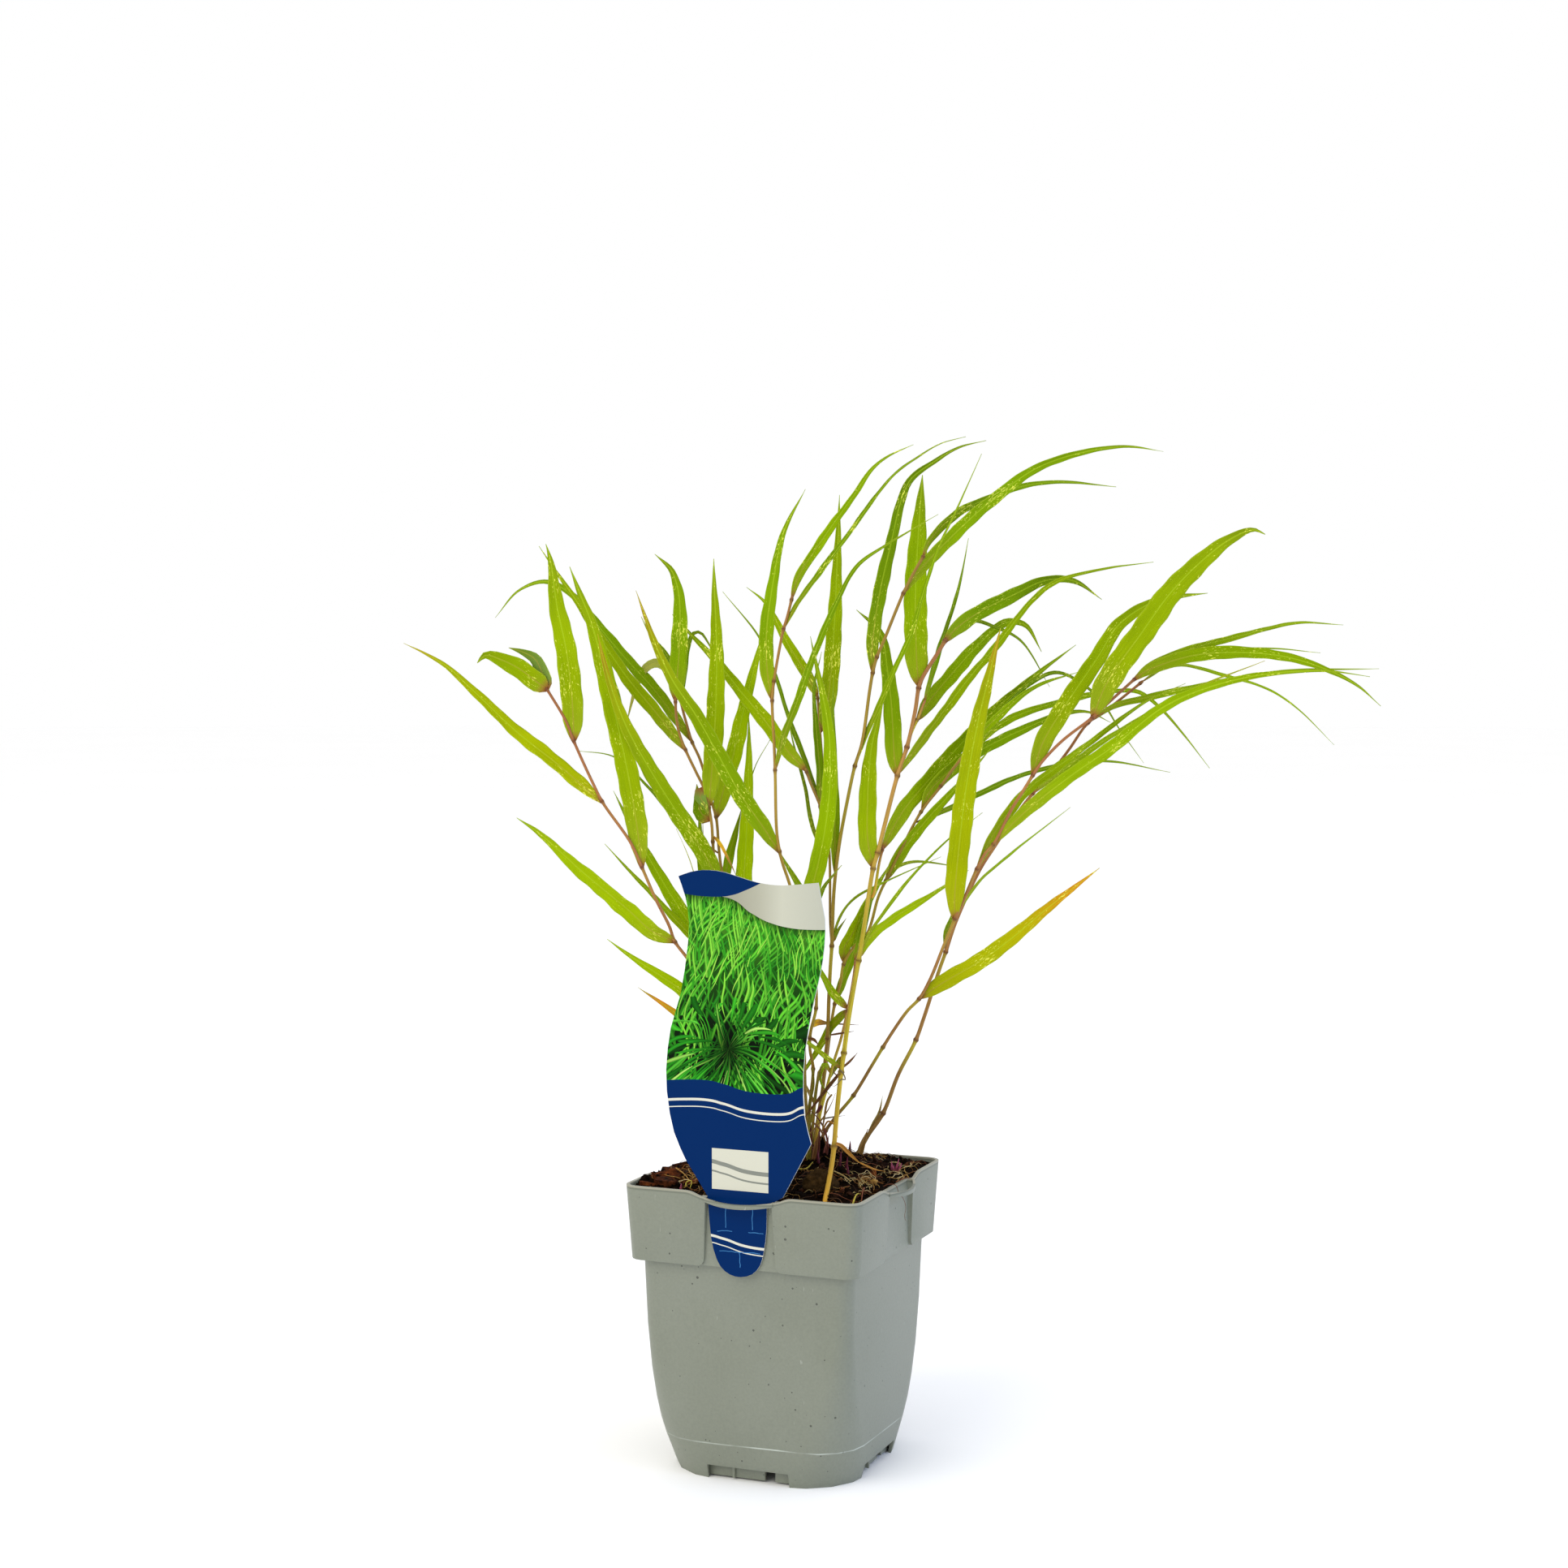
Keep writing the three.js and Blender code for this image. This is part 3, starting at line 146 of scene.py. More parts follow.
def material(name, **shader):
    """A new material, and the functions that add a node to it and set its shader's inputs."""
    made = bpy.data.materials.new(name)
    made.use_nodes = True
    principled = made.node_tree.nodes["Principled BSDF"]
    for socket, value in shader.items():
        principled.inputs[socket.replace("_", " ")].default_value = value
    return (made, partial(add_node, made.node_tree),
            partial(set_inputs, made.node_tree, principled))


# %% Floor
floor_finish, add, shade = material("matt_white_floor", Roughness=0.9)
where = add("TexCoord").outputs["Object"]
cloud = add("TexNoise", {"Vector": where, "Scale": 2.0})
shade({"Base Color": add("ValToRGB", [cloud], [(0.3, "#fefefe"), (0.7, "#ffffff")])})

shape = bmesh.new()
bmesh.ops.create_circle(shape, cap_ends=True, segments=64, radius=12)
floor = bpy.data.objects.new("floor", bpy.data.meshes.new("floor"))
shape.to_mesh(floor.data)
shape.free()
floor.data.materials.append(floor_finish)
bpy.context.collection.objects.link(floor)
floor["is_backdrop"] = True

# %% Lights
world = bpy.data.worlds.new("white_studio")
bpy.context.scene.world = world
world.use_nodes = True
set_inputs(world.node_tree, world.node_tree.nodes["Background"],
           {"Color": "#ffffff", "Strength": 1.0})

for lamp_name, spot, size, power, hue in (
    ("broad_lamp", (-0.7, -1.9, 1.6), 1.6, 26, "#fffaf0"),
    ("side_lamp", (1.9, 0.1, 0.9), 1.2, 12, "#80b0ff"),
):
    lamp = bpy.data.lights.new(lamp_name, "AREA")
    lamp.size = size
    lamp.energy = power
    lamp.color = srgb(hue)[:3]
    stand(lamp_name, lamp, spot, (0, 0, 0.2))

# %% [markdown]
# ## The pot
#
# The pot is injection-moulded polypropylene. Such a pot has no sharp edges: the mould leaves
# each with a small round that catches the light. The CAD pot has the right shape with sharp
# edges, so a merged copy of it gets a narrow bevel along every edge that turns clearly, and
# smooth shading over its curved faces.


# %% Objects
def finished(shape, name, slot, *finishes, replaces=()):
    """Makes the bmesh a piece of the part, at the origin, riding on the frame."""
    mesh = bpy.data.meshes.new(name)
    shape.to_mesh(mesh)
    shape.free()
    piece = bpy.data.objects.new(name, mesh)
    bpy.context.collection.objects.link(piece)
    for finish in finishes:
        mesh.materials.append(finish)
    mesh.shade_smooth()
    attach(piece, "root")
    if replaces:
        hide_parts(*replaces)
    print(f"{name}: {len(mesh.polygons)} faces")
    return piece


def thicken(piece, thickness):
    """Gives a sheet its thickness in mm, half of it to each side."""
    sheet = piece.modifiers.new("thickness", "SOLIDIFY")
    sheet.thickness = thickness * MM
    sheet.offset = 0


def merged_copy(node_name):
    """A bmesh of a CAD node with its triangles joined at their corners."""
    shape = bmesh.new()
    shape.from_mesh(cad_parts[node_name].data)
    bmesh.ops.remove_doubles(shape, verts=shape.verts, dist=1e-6)
    return shape


# %% Moulded polypropylene
# Recycled polypropylene from a satin mould: a soft sheen, a faint cloudiness where the melt
# flowed, dark specks of pigment under a millimetre wide, and pale scuffs.
pot_finish, add, shade = material("moulded_polypropylene", IOR=1.49, Roughness=0.42)
where = add("TexCoord").outputs["Object"]
cloud = add("TexNoise", {"Vector": where, "Scale": 22.0, "Detail": 3.0})
surface = add("ValToRGB", [cloud], [(0.3, "#73786a"), (0.7, "#797e71")])
# pigment specks: a few of them 1 mm across, and many of half a millimetre
rare = add("TexNoise", {"Vector": where, "Scale": 160.0})
for speck_scale, largest, colour in ((115.0, 0.08, "#484a42"), (260.0, 0.15, "#484c42")):
    specks = add("TexVoronoi", {"Vector": where, "Scale": speck_scale, "Randomness": 1.0})
    size = add("MapRange", (rare, 0.42, 0.7, 0.0, largest))
    dark = add("Math", (specks, size), operation="LESS_THAN")
    surface = add("Mix", {0: dark, 6: surface, 7: colour}, data_type="RGBA")
# fine dust and grain
grain = add("TexNoise", {"Vector": where, "Scale": 900.0, "Detail": 2.0})
grain_tone = add("MapRange", (grain, 0.2, 0.8, 0.93, 1.07))
surface = add("Mix", {0: 1.0, 6: surface, 7: grain_tone}, data_type="RGBA",
              blend_type="MULTIPLY")
# a thin pale line round the foot, broken in places, 16 mm above the ground
axes = add("SeparateXYZ", [where])
wander = add("TexNoise", {"Vector": where, "Scale": 9.0})
height = add("Math", (wander, 0.004, 0.0140), operation="MULTIPLY_ADD")
off_line = add("Math", (axes.outputs["Z"], height), operation="SUBTRACT")
on_line = add("Math", (off_line, 0.0, 0.00028), operation="COMPARE")
broken = add("TexNoise", {"Vector": where, "Scale": 60.0})
patchy = add("MapRange", (broken, 0.38, 0.62, 0.12, 0.8))
pale_foot_line = add("Math", (on_line, patchy), operation="MULTIPLY")
surface = add("Mix", {0: pale_foot_line, 6: surface, 7: "#bcc4bb"}, data_type="RGBA")
# pale scuffs, half a millimetre wide and 5 mm long, a few on each side
stretched = add("Mapping", {"Vector": where, "Scale": (1400.0, 1400.0, 150.0)})
scuff = add("TexNoise", {"Vector": stretched, "Scale": 1.0, "Detail": 1.0})
scuffed = add("MapRange", (scuff, 0.79, 0.82, 0.0, 0.6))
surface = add("Mix", {0: scuffed, 6: surface, 7: "#a9aea4"}, data_type="RGBA")
# the lip of the rim: a painted highlight along its top edge, and a thin painted shadow under it,
# where the lip shades the wall
from_centre = [add("Math", [axes.outputs[axis]], operation="ABSOLUTE") for axis in "XY"]
along_side = add("Math", from_centre, operation="MINIMUM")
rim_height = add("MapRange", (along_side, 0.015, 0.025, 0.1257, 0.128),
                 interpolation_type="SMOOTHSTEP")
below_rim = add("Math", (rim_height, axes.outputs["Z"]), operation="SUBTRACT")
# first the painted highlight, then the painted shadow line
for middle, half, colour in ((0.0001, 0.0006, "#8e8d7c"), (0.0011, 0.0004, "#656a5d")):
    painted_lip_light_and_shade = add("Math", (below_rim, middle, half), operation="COMPARE")
    surface = add("Mix", {0: painted_lip_light_and_shade, 6: surface, 7: colour}, data_type="RGBA")
shade({"Base Color": surface,
       "Roughness": add("MapRange", (cloud, 0.0, 1.0, 0.36, 0.5)),
       "Normal": add("Bump", {"Height": grain, "Strength": 0.08, "Distance": 0.0004})})

# %% Rounded pot
# The bars over the slots sit higher and are slimmer than in the CAD model, and the rim dips
# less beside them. The arches in the foot are a little taller. Pairs of heights in mm: in the
# CAD model and here.
HEIGHTS = ((0, 0), (5.5, 6.2), (14, 14), (117, 117), (119.8, 122.6), (121.2, 123.9),
           (122.6, 124.6), (124, 125.7), (128, 128), (140, 140))


def lifted(z):
    """The height in mm to which a height of the CAD pot goes."""
    for (low, new_low), (high, new_high) in zip(HEIGHTS, HEIGHTS[1:]):
        if z <= high:
            return new_low + (z - low) / (high - low) * (new_high - new_low)
    return z


shape = merged_copy("pot")
for vert in shape.verts:
    vert.co.z = lifted(vert.co.z / MM) * MM
bmesh.ops.dissolve_limit(shape, angle_limit=math.radians(1), verts=shape.verts,
                         edges=shape.edges)
sharp = [e for e in shape.edges if len(e.link_faces) == 2
         and e.calc_face_angle() > math.radians(38)]
bmesh.ops.bevel(shape, geom=sharp, offset=0.35 * MM, offset_type="OFFSET", segments=2,
                profile=0.5, affect="EDGES", clamp_overlap=True, material=-1)
bmesh.ops.triangulate(shape, faces=[f for f in shape.faces if len(f.verts) > 4])
pot = finished(shape, "pot_shell", "pot_plastic", pot_finish, replaces=["pot"])
pot.data.set_sharp_from_angle(angle=math.radians(50))

# %% [markdown]
# ## The label
#
# The label is a die-cut strip of white plastic, printed on its front: a navy cap and a silver
# sweep at the head, a picture of long grass, a navy foot with a pale panel, and a navy tongue
# that shows again under the bow. The CAD plate has the right outline, so it keeps its
# mesh, and the print is a material that reads the place on the plate in millimetres.
#
# The borders of the printed areas are soft waves. A Float Curve node holds each of them, as
# the height of the border for each place across the label.

# %% Printed plastic card
# Offset ink on polystyrene sheet: strong, even colours with hardly any gloss, and white edges
# where the sheet was cut.
label_finish, add, shade = material("printed_polystyrene_card", IOR=1.58, Roughness=0.35,
                                    Specular_IOR_Level=0.03)
place_and_normal = add("TexCoord").outputs
in_mm = add("VectorMath", {0: place_and_normal["Object"], "Scale": 1000.0}, operation="SCALE")
print_x, _, print_z = add("SeparateXYZ", [in_mm]).outputs
flat = add("CombineXYZ", {"X": print_x, "Y": print_z})
LABEL_LEFT, LABEL_WIDTH = -40.0, 85.0
across_label = add("MapRange", (print_x, LABEL_LEFT, LABEL_LEFT + LABEL_WIDTH))


def height_over(*points):
    """How far the print lies above a wavy border through points (across, up), in mm."""
    low = min(up for _, up in points) - 1
    high = max(up for _, up in points) + 1
    border = add("FloatCurve", {"Value": across_label})
    curve = border.mapping.curves[0]
    for _ in points[2:]:
        curve.points.new(0.5, 0.5)
    for point, (x, z) in zip(curve.points, points):
        point.location = ((x - LABEL_LEFT) / LABEL_WIDTH, (z - low) / (high - low))
    border.mapping.update()
    height = add("MapRange", (border, 0.0, 1.0, low, high))
    return add("Math", (print_z, height), operation="SUBTRACT")


over_foot = height_over((-40, 174), (-25, 175.8), (-16, 176.1), (-8, 175), (8.5, 172),
                        (19, 172.1), (29, 175.7), (45, 178))
over_head = height_over((-40, 258), (-26, 256), (-17.5, 255.2), (-8, 255.3), (5.5, 248.7),
                        (14.6, 244.8), (24, 243), (31, 242.7), (45, 243.4))
over_cap = height_over((-40, 258), (-26, 256), (-17.5, 255.2), (-8, 255.3), (-3.7, 256),
                       (2.5, 258.2), (9, 261.2), (20, 267), (45, 270))

# %% [markdown]
# The picture of grass is drawn from stamps. A Voronoi texture scatters points over the
# label. Around each point the place is turned and stretched, and a blade shows where a
# pointed oval covers it. Slow noise bends the place first, so that no two blades lean quite
# alike. Five fine layers cross each other and grow dense and bright towards the top. Over
# them lies a tussock. Its stamps read the angle and the distance from the tussock's heart in
# place of the position on the label, so its bold blades spread from there and arch down.


# %% Grass picture
def blade_layer(under, at, lean, length, breadth, shares, seed, *greens):
    """Lays a layer of printed blades over a colour: mm, degrees, and how many low and high."""
    shifted = add("VectorMath", (at, (seed, seed, seed)), operation="ADD")
    sway = add("TexNoise", {"Vector": shifted, "Scale": 0.035, "Detail": 1.0})
    swayed = add("VectorMath", (sway.outputs["Color"], (14.0, 14.0, 0.0), at),
                 operation="MULTIPLY_ADD")
    stretched = add("Mapping", (swayed, (seed, seed * 3, 0.0),
                                (0.0, 0.0, math.radians(-lean)), (2 * breadth, length, 1.0)),
                    vector_type="TEXTURE")
    scatter = add("TexVoronoi", {"Vector": stretched, "Scale": 1.0, "Randomness": 1.0},
                  voronoi_dimensions="2D")
    local = add("VectorMath", (stretched, scatter.outputs["Position"]), operation="SUBTRACT")
    local_x, local_y, _ = add("SeparateXYZ", [local]).outputs
    sideways = add("Math", [local_x], operation="ABSOLUTE")
    lengthways = add("Math", (local_y, 2.0), operation="POWER")
    oval = add("MapRange", (lengthways, 0.0, 0.3, 0.3, 0.0))
    covers = add("Math", (sideways, oval), operation="LESS_THAN")
    own_hue, own_rank, _ = add("SeparateColor", [scatter.outputs["Color"]]).outputs
    crowd = add("MapRange", (print_z, 180.0, 240.0, *shares))
    grows = add("Math", (own_rank, crowd), operation="LESS_THAN")
    shows = add("Math", (covers, grows), operation="MULTIPLY")
    green = add("ValToRGB", [own_hue], list(zip((0.15, 0.85), greens)))
    rounded = add("MapRange", (sideways, 0.0, 0.3, 1.25, 0.5))
    shaded = add("Mix", {0: 1.0, 6: green, 7: rounded}, data_type="RGBA",
                 blend_type="MULTIPLY")
    return add("Mix", {0: shows, 6: under, 7: shaded}, data_type="RGBA")


depth = add("MapRange", (print_z, 176.0, 246.0))
picture = add("ValToRGB", [depth], [(0.0, "#060f05"), (0.4, "#0a1c08"), (0.7, "#1c4a10"),
                                    (1.0, "#3f7a1c")])
for layer in (
    (10, 15, 1.3, (0.6, 1.0), 3.1, "#0d3408", "#2a7a16"),
    (-30, 16, 1.1, (0.5, 1.0), 11.7, "#175410", "#3c9a22"),
    (36, 16, 1.0, (0.4, 1.0), 23.9, "#22701a", "#58b62c"),
    (-8, 18, 0.9, (0.25, 0.9), 37.3, "#2f8a1c", "#78c23a"),
    (20, 17, 0.55, (0.05, 0.35), 45.9, "#4a9a28", "#8cc646"),
):
    picture = blade_layer(picture, flat, *layer)
HEART = (-5.0, 190.0, 0.0)
from_heart = add("VectorMath", (flat, HEART), operation="SUBTRACT")
reach_x, reach_y, _ = add("SeparateXYZ", [from_heart]).outputs
sag = add("Math", (reach_x, 2.0), operation="POWER")
arched = add("Math", (sag, 0.014, reach_y), operation="MULTIPLY_ADD")
angle = add("Math", (reach_x, arched), operation="ARCTAN2")
arc = add("Math", (angle, 30.0), operation="MULTIPLY")
spoke = add("CombineXYZ", (reach_x, arched))
distance = add("VectorMath", [spoke], operation="LENGTH")
spread = add("CombineXYZ", (arc, distance))
for layer in (
    (-14, 20, 2.3, (1.0, -0.7), 51.1, "#0b3409", "#1e7616"),
    (16, 22, 2.0, (0.8, -0.6), 64.7, "#13560f", "#36a022"),
    (-5, 25, 1.7, (0.55, -0.45), 79.3, "#22801a", "#5cbc3a"),
    (25, 20, 1.2, (0.2, -0.2), 93.1, "#58982e", "#9cca60"),
):
    picture = blade_layer(picture, spread, *layer)
heart_shade = add("MapRange", (distance, 2.0, 17.0, 0.12, 1.0))
picture = add("Mix", {0: 1.0, 6: picture, 7: heart_shade}, data_type="RGBA",
              blend_type="MULTIPLY")
# the head of the label casts a soft printed shadow on the picture
below_head = add("MapRange", (over_head, -3.5, 0.0, 0.0, 0.75))
picture = add("Mix", {0: below_head, 6: picture, 7: "#141c0a"}, data_type="RGBA")

# %% [markdown]
# The navy foot carries a thick and a thin white wave that follow its border. The same pair
# returns in grey on the pale panel and in white on the tongue.

# %% Printed areas
NAVY, WHITE, GREY = "#002457", "#c9c9bc", "#7c8078"
# the silver sweep: grey print with a painted sheen, lighter towards the right and brightest past
# the middle
silver = add("ValToRGB", [add("MapRange", (print_x, -8.0, 38.0))],
             [(0.0, "#8e8d7e"), (0.35, "#a1a191"), (0.6, "#b6b7a8"), (1.0, "#abada0")])
on_picture, on_head, on_cap = (add("Math", (over, 0.0), operation="GREATER_THAN")
                               for over in (over_foot, over_head, over_cap))
beside = add("Math", (print_x, 0.2, 13.1), operation="COMPARE")
level = add("Math", (print_z, 138.2, 8.8), operation="COMPARE")
panel = add("Math", (beside, level), operation="MULTIPLY")
waves = [add("Math", (over_foot, middle, thickness / 2), operation="COMPARE")
         for middle, thickness in ((-8.5, 1.1), (-11.6, 0.45), (-34.6, 1.8), (-38.6, 0.8),
                                   (-66.8, 1.1), (-69.8, 0.5))]
grey_waves = [add("Math", (panel, wave), operation="MULTIPLY") for wave in waves[2:4]]
card = NAVY
for shows, colour in (
    (on_picture, picture), (on_head, silver), (on_cap, NAVY), (waves[0], WHITE),
    (waves[1], WHITE), (waves[4], WHITE), (waves[5], WHITE), (panel, "#c3c3b4"),
    (grey_waves[0], GREY), (grey_waves[1], GREY),
):
    card = add("Mix", {0: shows, 6: card, 7: colour}, data_type="RGBA")
facing = add("SeparateXYZ", [place_and_normal["Normal"]])
front = add("Math", (facing.outputs["Y"], -0.5), operation="LESS_THAN")
card = add("Mix", {0: front, 6: "#c9cbc3", 7: card}, data_type="RGBA")

# %% [markdown]
# The tongue was folded to pass under the bow, and the folds left thin pressed lines in it.

# %% Pressed lines
ripple = add("TexNoise", {"Vector": in_mm, "Scale": 0.16})
wobble = add("Math", (ripple, 2.0, -1.0), operation="MULTIPLY_ADD")
creases = []
for line_place, axis, reach_place, other, reach in (
    (103.0, print_z, 0.0, print_x, 9.5), (111.7, print_z, -7.0, print_x, 3.5),
    (111.7, print_z, 7.5, print_x, 3.5), (-6.3, print_x, 117.5, print_z, 4.5),
    (5.9, print_x, 117.5, print_z, 4.5), (0.0, print_x, 99.5, print_z, 3.2),
):
    at_line = add("Math", (axis, wobble), operation="SUBTRACT")
    on_crease = add("Math", (at_line, line_place, 0.14), operation="COMPARE")
    within = add("Math", (other, reach_place, reach), operation="COMPARE")
    creases.append(add("Math", (on_crease, within), operation="MULTIPLY"))
creased = reduce(lambda a, b: add("Math", (a, b), operation="MAXIMUM"), creases)
shade({"Base Color": add("Mix", {0: creased, 6: card, 7: "#3d77ab"}, data_type="RGBA"),
       "Normal": add("Bump", {"Height": creased, "Strength": 0.4, "Distance": 0.0003})})

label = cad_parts["label"]
label.data.materials.clear()
label.data.materials.append(label_finish)

# %% [markdown]
# ## Stems and leaves
#
# Forest grass grows thin, jointed stems. At each upper joint a leaf leaves its sheath: a
# narrow collar, a blade that widens within a finger's breadth, and a long taper to a fine tip.
# The blade is folded along its midrib and its margins wave.
#
# The CAD stems follow measured lines with few faces. Here the same lines carry finer meshes.
# The points are laid out on an upright board through the pot's axis, as [across, up, back] in
# millimetres. Each is moved along its line of sight to its own depth, as in the CAD model.

# %% The plant's own frame
TO_POT = Matrix.Rotation(math.radians(22.1), 4, "Z")
EYE_DISTANCE = 1136
EYE_HEIGHT = 358
FRONT = Vector((0, -1, 0))
JOINT = True


def place(across, up, back):
    """A point of the board at its own depth, in metres."""
    scale = 1 + back / EYE_DISTANCE
    return Vector((across * scale, back, EYE_HEIGHT + (up - EYE_HEIGHT) * scale)) * MM


# %% Smooth lines
def lengths_along(points):
    """How far along the line each point lies."""
    steps = ((b - a).length for a, b in zip(points, points[1:]))
    return list(accumulate(steps, initial=0.0))


def smooth_line(points, spacing):
    """Evenly spaced places on a smooth line through the points, and the line's length."""
    ends = [2 * points[0] - points[1], *points, 2 * points[-1] - points[-2]]
    fine = []
    for before, start, stop, after in zip(ends, ends[1:], ends[2:], ends[3:]):
        pairs = ((before, start), (start, stop), (stop, after))
        d0, d1, d2 = (max((b - a).length, 1e-6) ** 0.5 for a, b in pairs)
        leave = (start - before) / d0 - (stop - before) / (d0 + d1) + (stop - start) / d1
        arrive = (stop - start) / d1 - (after - start) / (d1 + d2) + (after - stop) / d2
        fine += interpolate_bezier(start, start + leave * d1 / 3, stop - arrive * d1 / 3, stop,
                                   12)[:-1]
    fine.append(points[-1])
    lengths = lengths_along(fine)
    count = max(6, round(lengths[-1] / spacing))
    line, k = [], 0
    for step in range(count + 1):
        reach = lengths[-1] * step / count
        while k < len(fine) - 2 and lengths[k + 1] < reach:
            k += 1
        share = (reach - lengths[k]) / max(lengths[k + 1] - lengths[k], 1e-9)
        line.append(fine[k].lerp(fine[k + 1], share))
    return line, lengths[-1]


def directions(line):
    """The direction of the line at each of its places."""
    around = zip([line[0], *line[:-1]], [*line[1:], line[-1]])
    return [(after - before).normalized() for before, after in around]


# %% [markdown]
# Every blade, stem and root is a grid that is drawn along such a line: a blade is an open
# grid, and a tube is a grid rolled up until its long edges meet. Each vertex also keeps where
# it is along and across its piece, in millimetres, how near it is to the edge, and the tint of
# the plant there. The materials read these to lay veins and fibres along the piece.


# %% Grids drawn along a line
def new_shape():
    """A bmesh whose vertices can keep their place on the piece and their tint."""
    shape = bmesh.new()
    for name in ("along", "across", "edge"):
        shape.verts.layers.float.new(name)
    shape.verts.layers.float_color.new("tint")
    return shape


def draw_grid(shape, line, cells, put):
    """A grid along a line. put(step, side) gives a vertex's place, its mm across and tint."""
    layers = shape.verts.layers
    steps = len(line) - 1
    spacing = (line[1] - line[0]).length / MM
    grid = bmesh.ops.create_grid(shape, x_segments=cells, y_segments=steps, size=1)
    for vert in grid["verts"]:
        step = round((vert.co.y + 1) / 2 * steps)
        vert[layers.float["along"]] = step * spacing
        vert[layers.float["edge"]] = abs(vert.co.x)
        vert.co, vert[layers.float["across"]], vert[layers.float_color["tint"]] = put(
            step, vert.co.x)
    return grid["verts"]


CLOSED = 1e-7  # radius of a tube's closed end in metres


def draw_tube(shape, line, sides, radius, tint):
    """A closed tube. radius(share) is in mm and tint(share) a linear colour."""
    ways = directions(line)
    steps = len(line) - 1

    def put(step, side):
        sideways = ways[step].cross(FRONT).normalized()
        depth = sideways.cross(ways[step])
        angle = side * math.pi
        reach = radius(step / steps) * MM if 0 < step < steps else CLOSED
        at = line[step] + reach * (math.cos(angle) * sideways + math.sin(angle) * depth)
        return at, abs(side) * 2, tint(step / steps)

    made = draw_grid(shape, line, sides, put)
    bmesh.ops.remove_doubles(shape, verts=made, dist=5 * CLOSED)


# %% Tints
# Colours along a leaf from its collar to its tip, and along a stem from its foot to its top.
TINTS = {
    "bright": ("#96a61a", "#9ab402", "#9ab402", "#97b004", "#889e0e"),
    "lime": ("#87981a", "#879d02", "#879f02", "#849b04", "#778c0e"),
    "green": ("#889918", "#829e02", "#809d02", "#7d9804", "#71850f"),
    "moss": ("#829316", "#779504", "#739304", "#718e05", "#6d7c0f"),
    "olive_leaf": ("#6e8438", "#6c8436", "#668030", "#647c20", "#607818"),
    "moss_tip": ("#829316", "#779504", "#769404", "#789204", "#80940a", "#90900e", "#a4602a"),
    "deep": ("#7b8e14", "#6b8b04", "#678506", "#688409", "#657314"),
    "pale": ("#9a9c44", "#9ba544", "#a1a34c", "#9a9244", "#80703c"),
    "yellow": ("#9ea214", "#9ca802", "#9ca902", "#9aa804", "#97a406", "#959c0a", "#b07a1c"),
    "amber": ("#949a0c", "#9aa203", "#9ea503", "#a8a006", "#be8a14", "#c2701c"),
    "amber_tip": ("#86981a", "#84a004", "#849f04", "#869e06", "#8c9e08", "#949a0c", "#a8641e"),
    "straw": ("#8a7040", "#a08850", "#a58d58", "#9a8150", "#8a7048"),
    "orange_tip": ("#8aa818", "#8ea812", "#94a60e", "#b4a012", "#cc7e20", "#8c5238"),
    "dry": ("#c0a426", "#dcb41e", "#d89e20", "#a87434", "#84603a", "#6a5238"),
    "russet": ("#907040", "#8e6c36", "#986e3a", "#9e6a40", "#9c663e", "#925e3a"),
    "olive": ("#7e6a2c", "#93792c", "#9c8032", "#9a7a34", "#94683a"),
    "umber": ("#7c642a", "#92742c", "#9a8230", "#90762e", "#8c6c34"),
    "straw_culm": ("#be8a2c", "#c09a34", "#bcaa30", "#b4a230", "#b08c40", "#a67844", "#9a6440"),
}
FRESH_WOOD = Vector(srgb("#b4b028"))
JOINT_TINT = Vector(srgb("#522a20"))


def tint_at(name, share):
    """The named tint at a share of the length, as a linear colour."""
    codes = TINTS[name]
    reach = min(max(share, 0), 1) * (len(codes) - 1)
    k = min(int(reach), len(codes) - 2)
    return Vector(srgb(codes[k])).lerp(Vector(srgb(codes[k + 1])), reach - k)


# %% Stems
CULM_STEP = 1.2  # mm
CULM_SIDES = 10
PAST_TOP = 1.8  # mm that a culm runs on past its last point
JOINT_REACH = 0.9  # mm over which a joint swells, to each side
ROOT_LENGTH = 15  # mm of a stem that stand in the soil


def culm(tint, foot, top, *points):
    """A stem's axis: its tint, its width in mm at foot and top, and its points."""
    return {"tint": tint, "foot": foot, "top": top, "points": points}


def grow_culm(shape, tint, foot, top, points, from_soil):
    """A tube along the axis, which swells at the joints. One from the soil gets its root."""
    path = [place(*point[:3]) for point in points]
    path.append(path[-1] + (path[-1] - path[-2]).normalized() * PAST_TOP * MM)
    joints = [at for at, point in zip(path, points) if len(point) > 3]
    if from_soil:
        down = (path[0] - path[1]).normalized() + Vector((0, 0, -1))
        path.insert(0, path[0] + down.normalized() * ROOT_LENGTH * MM)
    line, _ = smooth_line(path, CULM_STEP * MM)
    nearest = [min(range(len(line)), key=lambda k: (line[k] - at).length) for at in joints]
    last = len(line) - 1
    fresh = 0 if tint == "straw_culm" else 0.85

    def swelling(share):
        gaps = [abs(share * last - k) * CULM_STEP for k in nearest]
        return math.exp(-(min(gaps, default=99) / JOINT_REACH) ** 2)

    def radius(share):
        return (foot + (top - foot) * share) / 2 * (1 + 0.5 * swelling(share))

    def colour(share):
        step = share * last
        below = max((k for k in nearest if k <= step), default=step)
        above = min((k for k in nearest if k > step), default=last)
        sheath = max(0, (step - below) / max(above - below, 1) - 0.55) / 0.45
        sheath = sheath ** 0.6 * max(0, 1 - 1.2 * share)
        plain = tint_at(tint, share).lerp(FRESH_WOOD, fresh * sheath)
        return plain.lerp(JOINT_TINT, 0.75 * swelling(share))

    draw_tube(shape, line, CULM_SIDES, radius, colour)


# %% [markdown]
# A blade is widest a third of the way along. Its breadth rises from the collar as a quarter
# round and falls to the tip along a curve. The fold, the slow waves of the margins and a
# shorter ripple all grow with the breadth, so that the tip stays fine.

